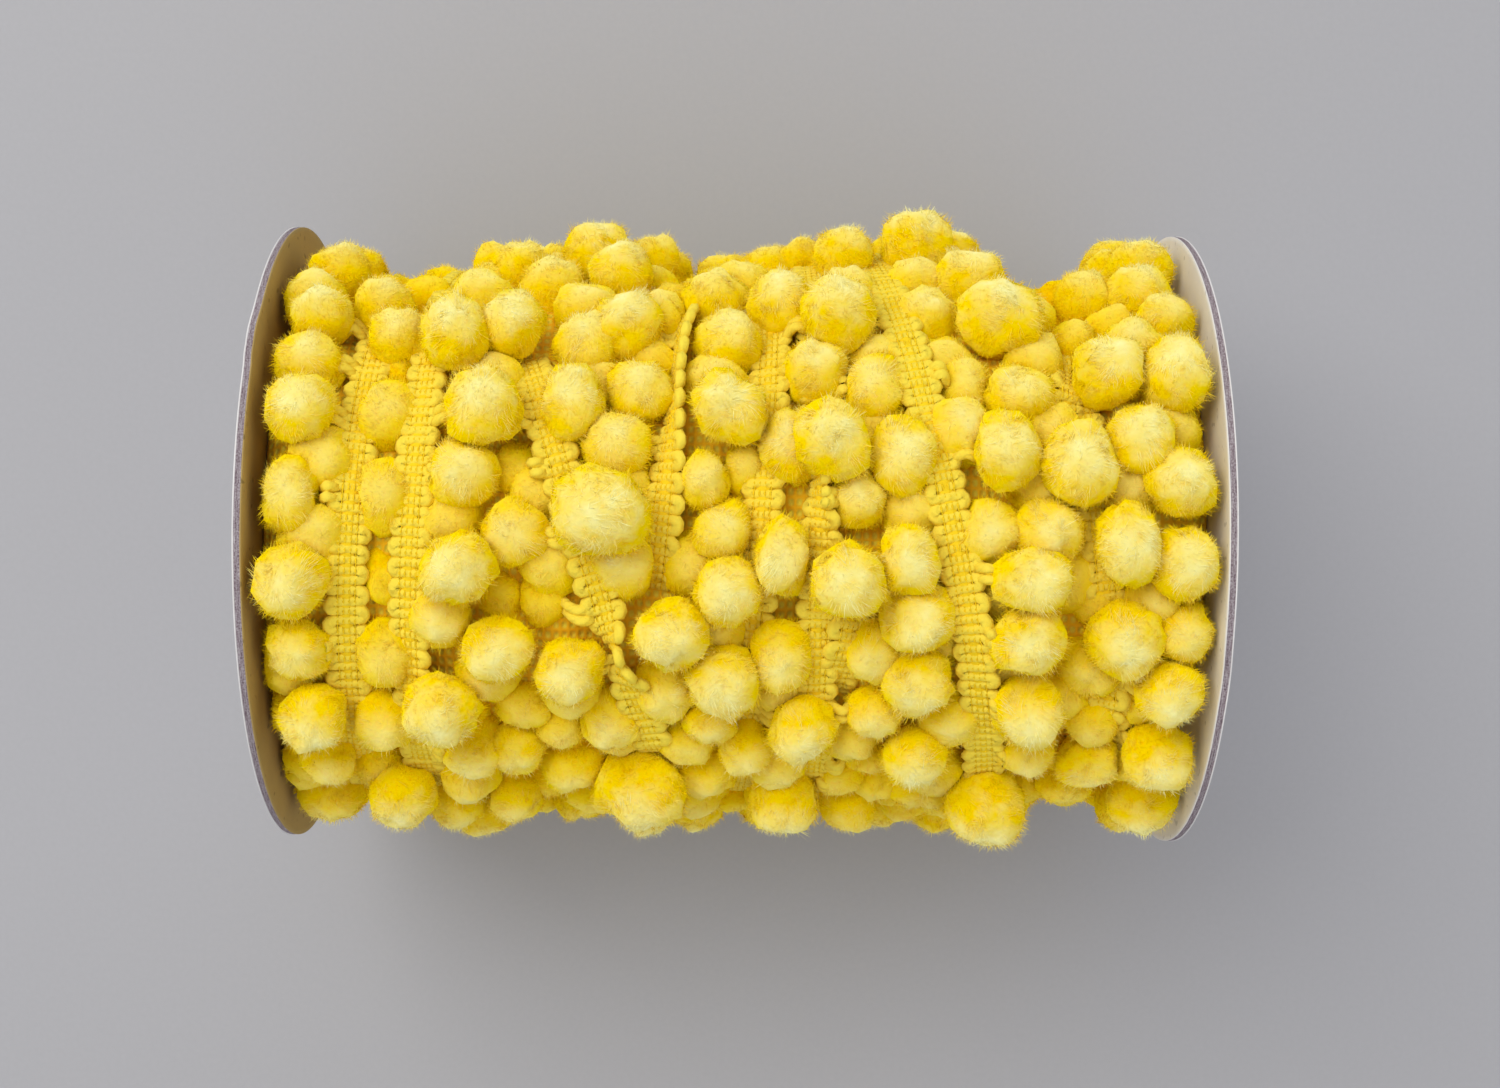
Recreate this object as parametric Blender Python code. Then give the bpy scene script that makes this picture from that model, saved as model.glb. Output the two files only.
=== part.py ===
"""Pompom fringe trim wound on a card spool, lying on its side.

The spool's axis runs along X. Two thin card discs stand at its ends, each with a small flat spot where it
rests. The trim is wound between them: a lumpy body with the turns of a narrow braid raised on it, and rows of
round pompoms that stand up from the body beside the braid. Metres, +Z up, origin below the middle of the
spool where it rests.

An angle round the spool is 0 at the top and grows towards +Y.
"""

from collections import namedtuple

import bmesh
import bpy
import numpy as np

MM = 0.001

# Card discs
DISC_RADIUS = 58.0 * MM
CARD_THICKNESS = 1.5 * MM
SPOOL_LENGTH = 167.0 * MM
FLAT_SPOT_HALF_WIDTH = 9.0 * MM
RIM_STEPS = 144
GAP = 0.3 * MM

# Places worked out from the discs
AXIS_HEIGHT = np.sqrt(DISC_RADIUS**2 - FLAT_SPOT_HALF_WIDTH**2)
CARD_INNER_X = SPOOL_LENGTH / 2 - CARD_THICKNESS
TRIM_END_X = CARD_INNER_X - GAP

# Wound body
BODY_RADIUS = 46.0 * MM
BODY_END_RADIUS = 40.0 * MM
SHOULDER_LENGTH = 6.0 * MM
BODY_STEPS = 25
BODY_UNEVENNESS = 0.8 * MM

# Braid
BRAID_HALF_WIDTH = 3.2 * MM
BRAID_FADE = np.radians(14)
LEAST_STRIP = 0.5 * MM

# Pompoms: how high and how wide each ring of points is, and how high the crown, as shares of the radius, and
# how much further each pompom is turned than the one before
POMPOM_RADIUS = 7.0 * MM
POMPOM_SIDES = 4
RINGS = ((0.38, 1.0), (-0.42, 0.92))
CROWN = 0.92
TWIST_EACH = np.radians(137.5)
ROOT_DEPTH = 1.6 * MM

# How the pompoms lie: their distance from the axis, and how unevenly they lie each way
CENTRE_RADIUS = 52.9 * MM
CENTRE_RANGE = (49.5 * MM, 54.5 * MM)
OUTWARD_SPREAD = 1.1 * MM
ALONG_SPREAD = 1.4 * MM
ACROSS_SPREAD = 1.4 * MM
SEED = 41

# How they push each other apart, and keep beside the braid where it lies high
CLOSEST_PAIR = 13.6 * MM
BESIDE_BRAID = 4.6 * MM
HIGHEST_RISE = 7.0
PUSH_SHARE = 0.35
PUSHING_ROUNDS = 30

# Pompoms under the spool are pressed flat by what it rests on
CENTRE_OVER_FLOOR = 5.6 * MM
FLOOR_CLEARANCE = 0.3 * MM

# A turn of the trim as its pompoms lie. mid, tilt and bow give their place along the spool in mm: in the
# middle of the row, how far it leans across the top, and how far it bows out at the top. sunk is how far the
# row lies below the outer ones, in mm. first is the angle of one pompom and count how many a whole turn would
# hold. Between bare_from and bare_to, in degrees, the row has none.
Turn = namedtuple("Turn", "mid tilt bow sunk first count bare_from bare_to")
TURNS = [
    Turn(mid=-72.5, tilt=-0.5, bow=-2.5, sunk=0.0, first=8, count=23, bare_from=0, bare_to=0),
    Turn(mid=-60.5, tilt=0.0, bow=1.5, sunk=2.5, first=7, count=15, bare_from=-18, bare_to=-2),
    Turn(mid=-48.5, tilt=0.5, bow=2.0, sunk=0.0, first=-5, count=22, bare_from=0, bare_to=0),
    Turn(mid=-38.5, tilt=0.0, bow=3.0, sunk=1.0, first=4, count=19, bare_from=18, bare_to=34),
    Turn(mid=-27.0, tilt=-1.0, bow=4.0, sunk=0.0, first=5, count=21, bare_from=-20, bare_to=-2),
    Turn(mid=-17.0, tilt=-2.0, bow=2.0, sunk=0.8, first=27, count=19, bare_from=-8, bare_to=22),
    Turn(mid=-3.0, tilt=0.0, bow=1.0, sunk=0.0, first=-9, count=22, bare_from=0, bare_to=0),
    Turn(mid=9.0, tilt=0.5, bow=0.0, sunk=0.5, first=-2, count=19, bare_from=0, bare_to=0),
    Turn(mid=20.5, tilt=-1.0, bow=-1.0, sunk=0.0, first=8, count=22, bare_from=-29, bare_to=-12),
    Turn(mid=31.5, tilt=-1.5, bow=-2.0, sunk=-0.6, first=-3, count=22, bare_from=22, bare_to=72),
    Turn(mid=40.5, tilt=1.0, bow=-1.0, sunk=-1.2, first=29, count=21, bare_from=-75, bare_to=24),
    Turn(mid=49.0, tilt=-3.0, bow=2.0, sunk=0.0, first=3, count=22, bare_from=0, bare_to=0),
    Turn(mid=61.5, tilt=0.0, bow=1.5, sunk=0.5, first=-17, count=20, bare_from=0, bare_to=0),
    Turn(mid=73.5, tilt=0.0, bow=1.5, sunk=0.0, first=-3, count=24, bare_from=0, bare_to=0),
]

# A turn of the braid. mid, tilt and bow as above. rise is how far it lies above the wound body, in mm. It
# shows between shows_from and shows_to, in degrees, and dives under the pompoms elsewhere.
Braid = namedtuple("Braid", "mid tilt bow rise shows_from shows_to")
BRAIDS = [
    Braid(mid=-64.0, tilt=2.5, bow=-1.5, rise=4.0, shows_from=-180, shows_to=180),
    Braid(mid=-52.5, tilt=2.0, bow=-2.5, rise=5.0, shows_from=-180, shows_to=180),
    Braid(mid=-26.0, tilt=-17.0, bow=0.0, rise=6.5, shows_from=-58, shows_to=42),
    Braid(mid=-15.0, tilt=6.0, bow=2.0, rise=5.0, shows_from=-14, shows_to=60),
    Braid(mid=3.0, tilt=3.0, bow=1.0, rise=4.0, shows_from=-180, shows_to=180),
    Braid(mid=14.0, tilt=0.0, bow=0.0, rise=5.0, shows_from=-180, shows_to=180),
    Braid(mid=35.0, tilt=-11.0, bow=2.0, rise=7.0, shows_from=-180, shows_to=180),
    Braid(mid=62.0, tilt=-6.0, bow=0.0, rise=3.5, shows_from=-180, shows_to=180),
]

# A dent in a disc's rim: its angle, how deep it is and its half length along the rim
Dent = namedtuple("Dent", "angle depth half_length")
LEFT_DENTS = [
    Dent(angle=np.radians(38), depth=1.1 * MM, half_length=3.2 * MM),
    Dent(angle=np.radians(33), depth=0.7 * MM, half_length=2.2 * MM),
]
RIGHT_DENTS = [
    Dent(angle=np.radians(-23), depth=0.7 * MM, half_length=4.0 * MM),
]


def clear_scene():
    for obj in list(bpy.data.objects):
        bpy.data.objects.remove(obj, do_unlink=True)


def make_material(name, colour, roughness):
    material = bpy.data.materials.new(name)
    material.use_nodes = True
    shader = material.node_tree.nodes["Principled BSDF"]
    shader.inputs["Base Color"].default_value = (*colour, 1.0)
    shader.inputs["Roughness"].default_value = roughness
    shader.inputs["Metallic"].default_value = 0.0
    return material


def add_object(name, mesh, material=None):
    obj = bpy.data.objects.new(name, mesh)
    bpy.context.scene.collection.objects.link(obj)
    if material:
        mesh.materials.append(material)
    return obj


def place(x, angle, radius):
    """Points at these places along the spool, angles round it and distances from its axis."""
    return np.stack([x, radius * np.sin(angle), AXIS_HEIGHT + radius * np.cos(angle)], axis=-1)


def outward(angle):
    """Unit vectors that point away from the axis at these angles."""
    return place(np.zeros_like(angle), angle, np.ones_like(angle)) - (0, 0, AXIS_HEIGHT)


def row_x(row, angle):
    """Where a row of pompoms or a turn of braid lies along the spool at each angle."""
    bowed = ((1 + np.cos(angle)) / 2) ** 3
    return (row.mid + row.tilt * np.sin(angle) + row.bow * bowed) * MM


def inside_range(angle, first, last):
    """How far each angle lies inside this range of degrees, in radians, and negative outside it."""
    middle = np.radians((first + last) / 2)
    off = np.abs((angle - middle + np.pi) % (2 * np.pi) - np.pi)
    return np.radians((last - first) / 2) - off


def shown_share(braid, angle):
    """1 where the braid lies on top, fading to 0 where it dives under the pompoms."""
    if braid.shows_to - braid.shows_from >= 360:
        return np.ones_like(angle)
    return np.clip(inside_range(angle, braid.shows_from, braid.shows_to) / BRAID_FADE, 0, 1)


def rows_of_pompoms():
    """Each pompom's place along the spool, its angle and its distance from the axis, as its row holds it."""
    dice = np.random.default_rng(SEED)
    x, angle, radius = [], [], []
    for turn in TURNS:
        around = np.radians(turn.first) + np.arange(turn.count) * 2 * np.pi / turn.count
        around += dice.normal(0, ALONG_SPREAD / CENTRE_RADIUS, turn.count)
        across = row_x(turn, around) + dice.normal(0, ACROSS_SPREAD, turn.count)
        level = CENTRE_RADIUS - turn.sunk * MM + dice.normal(0, OUTWARD_SPREAD, turn.count)
        kept = inside_range(around, turn.bare_from, turn.bare_to) <= 0
        x.append(across[kept])
        angle.append(around[kept])
        radius.append(level[kept])
    return np.concatenate(x), np.concatenate(angle), np.concatenate(radius)


def lay_pompoms():
    """The rows after their pompoms have pushed each other apart and made way for the raised braid."""
    x, angle, radius = rows_of_pompoms()
    for _ in range(PUSHING_ROUNDS):
        centres = place(x, angle, radius)
        away = centres[:, None] - centres[None]
        apart = np.linalg.norm(away, axis=-1) + 1e-9
        push = np.clip(CLOSEST_PAIR - apart, 0, None) / apart * PUSH_SHARE
        np.fill_diagonal(push, 0)
        moved = (push[..., None] * away).sum(axis=1)
        for braid in BRAIDS:
            beside = x - row_x(braid, angle)
            wanted = np.clip(BRAID_HALF_WIDTH + BESIDE_BRAID - np.abs(beside), 0, None)
            share = PUSH_SHARE * shown_share(braid, angle) * braid.rise / HIGHEST_RISE
            moved[:, 0] += np.sign(beside) * wanted * share
        out = outward(angle)
        around = np.cross(out, (1, 0, 0))
        x = (x + moved[:, 0]).clip(POMPOM_RADIUS - TRIM_END_X, TRIM_END_X - POMPOM_RADIUS)
        radius = (radius + (moved * out).sum(axis=1)).clip(*CENTRE_RANGE)
        angle = angle + (moved * around).sum(axis=1) / radius
    return x, angle, radius


def sizes_of_pompoms(x, angle, radius):
    """Each pompom's radius, so that it stays clear of its nearest neighbour and of the discs."""
    centres = place(x, angle, radius)
    apart = np.linalg.norm(centres[:, None] - centres[None], axis=-1)
    np.fill_diagonal(apart, 1.0)
    room = np.minimum(apart.min(axis=1) - GAP, 2 * (TRIM_END_X - np.abs(x)))
    return np.minimum(POMPOM_RADIUS, room / 2)


def faces_of_pompom():
    """Triangles of one pompom: crown to upper ring, upper to lower ring, and lower ring to root."""
    crown, root = 2 * POMPOM_SIDES, 2 * POMPOM_SIDES + 1
    faces = []
    for upper in range(POMPOM_SIDES):
        upper_next = (upper + 1) % POMPOM_SIDES
        lower, lower_next = POMPOM_SIDES + upper, POMPOM_SIDES + upper_next
        faces.append((upper, upper_next, crown))
        faces.append((upper, lower, upper_next))
        faces.append((upper_next, lower, lower_next))
        faces.append((lower, root, lower_next))
    return np.array(faces)


def pompom_mesh():
    """Each pompom is two rings of points half a step apart, a crown point and a root point in the body."""
    x, angle, radius = lay_pompoms()
    size = sizes_of_pompoms(x, angle, radius)
    floor_reach = (AXIS_HEIGHT - FLOOR_CLEARANCE) / np.clip(-np.cos(angle), 0.01, None)
    radius = np.minimum(radius, floor_reach - CENTRE_OVER_FLOOR)
    height = np.minimum(size, (floor_reach - radius) / CROWN)
    centre, out = place(x, angle, radius), outward(angle)
    along = np.array([1.0, 0.0, 0.0])
    around = np.cross(out, along)
    twist = np.arange(len(x)) * TWIST_EACH
    points = []
    for ring, (ring_height, ring_width) in enumerate(RINGS):
        for number in range(POMPOM_SIDES):
            turned = (twist + (number + ring / 2) * 2 * np.pi / POMPOM_SIDES)[:, None]
            sideways = size[:, None] * ring_width * (np.cos(turned) * along + np.sin(turned) * around)
            points.append(centre + sideways + (height * ring_height)[:, None] * out)
    points.append(centre + (height * CROWN)[:, None] * out)
    points.append(place(x, angle, np.full_like(x, BODY_RADIUS - ROOT_DEPTH)))
    offsets = np.arange(len(x)) * len(points)
    faces = faces_of_pompom()[None] + offsets[:, None, None]
    mesh = bpy.data.meshes.new("pompoms")
    mesh.from_pydata(np.stack(points, axis=1).reshape(-1, 3).tolist(), [], faces.reshape(-1, 3).tolist())
    return face_outwards(mesh)


def face_outwards(mesh):
    work = bmesh.new()
    work.from_mesh(mesh)
    bmesh.ops.recalc_face_normals(work, faces=work.faces)
    work.to_mesh(mesh)
    work.free()
    return mesh


def body_radius(x, angle):
    """The wound body between the braids, gently uneven and lower beside the discs."""
    waves = np.sin(3 * angle + 60 * x) + np.sin(5 * angle - 90 * x + 1.0) + np.sin(140 * x + 2 * angle)
    shoulder = np.clip((TRIM_END_X - np.abs(x)) / SHOULDER_LENGTH, 0, 1)
    full_radius = BODY_RADIUS + BODY_UNEVENNESS * waves / 3
    return BODY_END_RADIUS + (full_radius - BODY_END_RADIUS) * shoulder


def lines_round_body(angle):
    """The body's lines round it, as (place along it, rise): ends, shoulders, braid edges and valleys."""
    ring = np.ones_like(angle)
    shoulder_x = TRIM_END_X - SHOULDER_LENGTH
    lines = [(-TRIM_END_X * ring, 0 * ring), (-shoulder_x * ring, 0 * ring)]
    for braid in BRAIDS:
        shown = shown_share(braid, angle)
        half = BRAID_HALF_WIDTH * (1 + shown) / 2
        left, right = row_x(braid, angle) - half, row_x(braid, angle) + half
        rise = braid.rise * MM * shown
        if braid is not BRAIDS[0]:
            valley = (lines[-1][0] + left) / 2
            lines.append((valley, 0 * ring))
        lines += [(left, rise), (right, rise)]
    lines += [(shoulder_x * ring, 0 * ring), (TRIM_END_X * ring, 0 * ring)]
    return lines


def body_mesh():
    """The wound body: a grid over its lines, kept in order along the spool, and a flat face at each end."""
    angle = np.arange(BODY_STEPS) * 2 * np.pi / BODY_STEPS
    x, rise = np.moveaxis(np.array(lines_round_body(angle)), 1, 0)
    order = np.arange(len(x))[:, None] * LEAST_STRIP
    x = np.maximum.accumulate(x - order, axis=0) + order
    points = place(x, np.broadcast_to(angle, x.shape), body_radius(x, angle) + rise)
    index = np.arange(x.size).reshape(x.shape)
    following = np.roll(index, -1, axis=1)
    quads = np.stack([index[:-1], index[1:], following[1:], following[:-1]], axis=-1).reshape(-1, 4)
    ends = [index[0].tolist(), index[-1].tolist()]
    mesh = bpy.data.meshes.new("pompom_trim")
    mesh.from_pydata(points.reshape(-1, 3).tolist(), [], quads.tolist() + ends)
    return face_outwards(mesh)


def rim_radius(angle, dents):
    """The disc's rim: round, pressed in at its dents and flat where it rests."""
    radius = np.full_like(angle, DISC_RADIUS)
    for dent in dents:
        along_rim = (angle - dent.angle) * DISC_RADIUS / dent.half_length
        radius -= dent.depth * np.exp(-(along_rim**2))
    below = np.clip(-np.cos(angle), 0.01, None)
    return np.minimum(radius, AXIS_HEIGHT / below)


def card_disc(name, inner_x, outer_x, dents, material):
    """A card disc: its dented rim outline, extruded along the axis by the card's thickness."""
    flat_corner = np.pi - np.arcsin(FLAT_SPOT_HALF_WIDTH / DISC_RADIUS)
    angle = np.linspace(-flat_corner, flat_corner, RIM_STEPS)
    rim = place(np.full_like(angle, inner_x), angle, rim_radius(angle, dents))
    work = bmesh.new()
    face = work.faces.new([work.verts.new(point) for point in rim])
    extruded = bmesh.ops.extrude_face_region(work, geom=[face], use_keep_orig=True)
    moved = [item for item in extruded["geom"] if isinstance(item, bmesh.types.BMVert)]
    bmesh.ops.translate(work, verts=moved, vec=(outer_x - inner_x, 0, 0))
    bmesh.ops.recalc_face_normals(work, faces=work.faces)
    mesh = bpy.data.meshes.new(name)
    work.to_mesh(mesh)
    work.free()
    mesh.shade_smooth()
    mesh.set_sharp_from_angle(angle=np.radians(30))
    return add_object(name, mesh, material)


def wound_trim(material):
    """The wound body with the pompoms joined on: one solid."""
    helper = add_object("pompoms_joined_on", pompom_mesh())
    helper.hide_render = True
    helper.display_type = "WIRE"
    trim = add_object("pompom_trim", body_mesh(), material)
    union = trim.modifiers.new("join pompoms", "BOOLEAN")
    union.operation = "UNION"
    union.solver = "EXACT"
    union.object = helper
    return trim


def build():
    clear_scene()
    shaded_card = make_material("greyboard with buff paper face", (0.42, 0.33, 0.17), 0.85)
    lit_card = make_material("greyboard with pale paper face", (0.66, 0.63, 0.58), 0.85)
    yarn = make_material("yellow acrylic yarn", (0.86, 0.68, 0.05), 0.95)
    card_disc("flange_left", -CARD_INNER_X, -SPOOL_LENGTH / 2, LEFT_DENTS, shaded_card)
    card_disc("flange_right", CARD_INNER_X, SPOOL_LENGTH / 2, RIGHT_DENTS, lit_card)
    wound_trim(yarn)


build()
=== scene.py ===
"""Pompom fringe trim wound on a card spool: its looks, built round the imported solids.

The spool lies along X between two card discs. Rows of round pompoms stand on the wound body, with the turns
of a narrow gimp braid between them, and short doubled ties of the braid's own yarn run to the pompoms beside
it. Everything is in metres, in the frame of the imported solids. An angle round the spool is 0 at the top and
grows towards +Y.
"""

from collections import namedtuple

import bpy
import numpy as np
from bpy.props import FloatProperty, FloatVectorProperty, IntProperty, PointerProperty
from mathutils import Euler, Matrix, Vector


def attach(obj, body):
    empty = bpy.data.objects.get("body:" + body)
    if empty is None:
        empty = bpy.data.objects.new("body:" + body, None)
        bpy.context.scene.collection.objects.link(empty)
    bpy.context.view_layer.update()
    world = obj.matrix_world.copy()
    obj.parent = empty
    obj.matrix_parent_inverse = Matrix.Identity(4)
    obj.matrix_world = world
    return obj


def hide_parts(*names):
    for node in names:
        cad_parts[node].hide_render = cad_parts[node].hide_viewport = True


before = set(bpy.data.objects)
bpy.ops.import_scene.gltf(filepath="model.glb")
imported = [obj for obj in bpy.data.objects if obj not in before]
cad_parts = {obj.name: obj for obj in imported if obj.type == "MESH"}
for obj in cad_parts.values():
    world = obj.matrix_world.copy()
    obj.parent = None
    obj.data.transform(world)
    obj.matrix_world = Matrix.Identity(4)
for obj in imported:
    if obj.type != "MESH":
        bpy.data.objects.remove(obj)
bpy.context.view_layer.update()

bl_info = {
    "name": "Pompom fringe trim on a card spool",
    "version": (1, 0, 0),
    "blender": (4, 5, 0),
    "location": "3D View > Sidebar > Trim",
    "description": "Builds a spool of pompom fringe trim round its packed solids",
    "category": "Add Mesh",
}

MM = 0.001
FULL_TURN = 2 * np.pi
GOLDEN_ANGLE = np.pi * (3 - np.sqrt(5))

# Card discs and the space between them, as in the solids
DISC_RADIUS = 58.0 * MM
CARD_THICKNESS = 1.5 * MM
SPOOL_LENGTH = 167.0 * MM
FLAT_SPOT_HALF_WIDTH = 9.0 * MM
GAP = 0.3 * MM
AXIS_HEIGHT = np.sqrt(DISC_RADIUS**2 - FLAT_SPOT_HALF_WIDTH**2)
CARD_INNER_X = SPOOL_LENGTH / 2 - CARD_THICKNESS
TRIM_END_X = CARD_INNER_X - GAP

# Wound body
BODY_RADIUS = 46.0 * MM
BODY_END_RADIUS = 40.0 * MM
SHOULDER_LENGTH = 6.0 * MM
BODY_UNEVENNESS = 0.8 * MM

# How the pompoms lie, as in the solids
POMPOM_RADIUS = 7.0 * MM
CENTRE_RADIUS = 52.9 * MM
CENTRE_RANGE = (49.5 * MM, 54.5 * MM)
OUTWARD_SPREAD = 1.1 * MM
ALONG_SPREAD = 1.4 * MM
ACROSS_SPREAD = 1.4 * MM
LAYING_SEED = 41
CLOSEST_PAIR = 13.6 * MM
BRAID_HALF_WIDTH = 3.2 * MM
BESIDE_BRAID = 4.6 * MM
BRAID_FADE = np.radians(14)
HIGHEST_RISE = 7.0
PUSH_SHARE = 0.35
PUSHING_ROUNDS = 30
BRAID_HALF_SHOWN = 3.7 * MM
BRAID_HALF_THICK = 1.0 * MM
UNDER_BRAID = 3.0 * MM
CENTRE_OVER_FLOOR = 5.6 * MM
FLOOR_CLEARANCE = 0.3 * MM
CROWN = 0.92

# A turn of the trim as its pompoms lie. mid, tilt and bow give their place along the spool in mm: in the
# middle of the row, how far it leans across the top, and how far it bows out at the top. sunk is how far the
# row lies below the outer ones, in mm. first is the angle of one pompom and count how many a whole turn would
# hold. Between bare_from and bare_to, in degrees, the row has none.
Turn = namedtuple("Turn", "mid tilt bow sunk first count bare_from bare_to")
TURNS = [
    Turn(mid=-72.5, tilt=-0.5, bow=-2.5, sunk=0.0, first=8, count=23, bare_from=0, bare_to=0),
    Turn(mid=-60.5, tilt=0.0, bow=1.5, sunk=2.5, first=7, count=15, bare_from=-18, bare_to=-2),
    Turn(mid=-48.5, tilt=0.5, bow=2.0, sunk=0.0, first=-5, count=22, bare_from=0, bare_to=0),
    Turn(mid=-38.5, tilt=0.0, bow=3.0, sunk=1.0, first=4, count=19, bare_from=18, bare_to=34),
    Turn(mid=-27.0, tilt=-1.0, bow=4.0, sunk=0.0, first=5, count=21, bare_from=-20, bare_to=-2),
    Turn(mid=-17.0, tilt=-2.0, bow=2.0, sunk=0.8, first=27, count=19, bare_from=-8, bare_to=22),
    Turn(mid=-3.0, tilt=0.0, bow=1.0, sunk=0.0, first=-9, count=22, bare_from=0, bare_to=0),
    Turn(mid=9.0, tilt=0.5, bow=0.0, sunk=0.5, first=-2, count=19, bare_from=0, bare_to=0),
    Turn(mid=20.5, tilt=-1.0, bow=-1.0, sunk=0.0, first=8, count=22, bare_from=-29, bare_to=-12),
    Turn(mid=31.5, tilt=-1.5, bow=-2.0, sunk=-0.6, first=-3, count=22, bare_from=22, bare_to=72),
    Turn(mid=40.5, tilt=1.0, bow=-1.0, sunk=-1.2, first=29, count=21, bare_from=-75, bare_to=24),
    Turn(mid=49.0, tilt=-3.0, bow=2.0, sunk=0.0, first=3, count=22, bare_from=0, bare_to=0),
    Turn(mid=61.5, tilt=0.0, bow=1.5, sunk=0.5, first=-17, count=20, bare_from=0, bare_to=0),
    Turn(mid=73.5, tilt=0.0, bow=1.5, sunk=0.0, first=-3, count=24, bare_from=0, bare_to=0),
]

# A turn of the braid. mid, tilt and bow as above. rise is how far it lies above the wound body, in mm. It
# shows between shows_from and shows_to, in degrees, and dives under the pompoms elsewhere. It is twisted by
# twist degrees about its own length at the angle twist_at, over twist_span degrees each way. side is the edge
# that its ties leave from: -1 towards the left disc, 1 towards the right one.
Braid = namedtuple("Braid", "mid tilt bow rise shows_from shows_to twist twist_at twist_span side")
BRAIDS = [
    Braid(-64.0, 2.5, -1.5, 4.0, -180, 180, twist=-8, twist_at=0, twist_span=60, side=-1),
    Braid(-52.5, 2.0, -2.5, 5.0, -180, 180, twist=14, twist_at=0, twist_span=50, side=1),
    Braid(-26.0, -17.0, 0.0, 6.5, -58, 42, twist=82, twist_at=-21, twist_span=6, side=-1),
    Braid(-15.0, 6.0, 2.0, 5.0, -14, 60, twist=76, twist_at=32, twist_span=26, side=-1),
    Braid(3.0, 3.0, 1.0, 4.0, -180, 180, twist=20, twist_at=20, twist_span=30, side=1),
    Braid(14.0, 0.0, 0.0, 5.0, -180, 180, twist=70, twist_at=12, twist_span=8, side=1),
    Braid(35.0, -11.0, 2.0, 7.0, -180, 180, twist=16, twist_at=-20, twist_span=20, side=1),
    Braid(62.0, -6.0, 0.0, 3.5, -180, 180, twist=10, twist_at=-40, twist_span=30, side=1),
]

# Short stretches of deeper turns that come up between the pompoms
SHORT_BRAIDS = [
    Braid(21.5, 8.0, 0.0, 5.5, -36, -6, twist=-35, twist_at=-12, twist_span=10, side=1),
    Braid(51.0, 12.0, 0.0, 6.0, 17, 42, twist=-25, twist_at=28, twist_span=12, side=1),
    Braid(67.0, 4.0, 0.0, 5.0, -46, -22, twist=20, twist_at=-34, twist_span=12, side=-1),
]


# Distances from the axis over which the materials change: where the pile's tips take on a painted highlight,
# and where the pile and the yarn turn from painted orange shade in the depths to their own colour
PILE_PAINTED_HIGHLIGHT = (50 * MM, 59 * MM)
PILE_PAINTED_SHADE = (39 * MM, 51 * MM)
YARN_PAINTED_SHADE = (37 * MM, 47 * MM)


def linear(colour):
    """An sRGB hex colour, such as #F4DC28, as linear red, green and blue."""
    coded = np.array([int(colour[at:at + 2], 16) for at in (1, 3, 5)]) / 255
    return tuple(np.where(coded <= 0.04045, coded / 12.92, ((coded + 0.055) / 1.055) ** 2.4))


def colour_property(name, colour, description):
    """A colour setting, whose default is an sRGB hex value."""
    return FloatVectorProperty(
        name=name, description=description, subtype="COLOR", size=3, min=0, max=1, default=linear(colour)
    )


def length_property(name, size, description):
    """A length setting, in metres."""
    return FloatProperty(
        name=name, description=description, default=size, min=0, precision=5, subtype="DISTANCE",
        unit="LENGTH",
    )


class PompomSettings(bpy.types.PropertyGroup):
    """The pompoms and their cut pile."""

    fibres: IntProperty(
        name="Fibres", description="Cut fibre ends on each outer pompom", default=1400, min=50
    )
    inner_fibres: IntProperty(
        name="Inner fibres", description="The same on each pompom below", default=600, min=50
    )
    pile_depth: length_property("Pile depth", 1.5 * MM, "How far below the surface each fibre's root lies")
    fibre_width: length_property("Fibre width", 0.24 * MM, "Width of a fibre's root")
    lean: FloatProperty(name="Lean", description="How far the fibres lean with their tuft", default=0.22)
    # tip is the colour of the painted highlight on the fibre ends.
    tip: colour_property("Tip", "#FEFEC8", "Colour of the fibre ends")
    root: colour_property("Root", "#FCE400", "Colour between the fibres")
    # deep is the colour of the painted orange shade low between the pompoms; the yarn uses it too.
    deep: colour_property("Deep", "#FFB400", "Colour of pile deep between the pompoms")


class BraidSettings(bpy.types.PropertyGroup):
    """The gimp braid, its stitching and its ties."""

    width: length_property("Width", 7.2 * MM, "Braid's width over its loops")
    row_pitch: length_property("Row pitch", 1.74 * MM, "Distance between two runs of the gimp yarn")
    yarn_width: length_property("Yarn width", 1.6 * MM, "Width of the gimp yarn in the braid")
    yarn_height: length_property("Yarn height", 1.6 * MM, "Thickness of the gimp yarn in the braid")
    thread: length_property("Thread", 0.36 * MM, "Thickness of the stitching thread")
    tie_yarn: length_property("Tie yarn", 1.9 * MM, "Thickness of each yarn of a tie")
    yarn: colour_property("Yarn", "#FFEB5A", "Colour of the gimp yarn")
    stitches: colour_property("Stitches", "#FFDF2C", "Colour of the stitching thread")


class CardSettings(bpy.types.PropertyGroup):
    """The two card discs."""

    ply_groove: length_property("Ply groove", 0.12 * MM, "How deep the board's plies part at its edge")
    # The left face's tan is painted shade with a painted yellow reflection; its paper is as pale as the right
    # face's.
    left_paper_painted_shade: colour_property("Left paper", "#B59C62", "Inner face of the left disc")
    right_paper: colour_property("Right paper", "#EFECE9", "Inner face of the right disc")
    board: colour_property("Board", "#94868D", "Cut edge of the greyboard")
    board_dark: colour_property("Board dark", "#5E4A55", "Dark plies of the greyboard")
    outer_paper: colour_property("Outer paper", "#EDEBEC", "White paper on the discs' outer faces")


class StageSettings(bpy.types.PropertyGroup):
    """Floor, camera and lights."""

    floor: colour_property("Floor", "#B4B4B9", "Colour of the plain floor")
    key_power: FloatProperty(
        name="Key", description="Power of the large soft light", default=6.2, unit="POWER"
    )
    fill_power: FloatProperty(
        name="Fill", description="Power of the weak light across", default=1.0, unit="POWER"
    )
    sky: FloatProperty(name="Sky", description="Strength of the even light all round", default=0.67, min=0)


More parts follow.
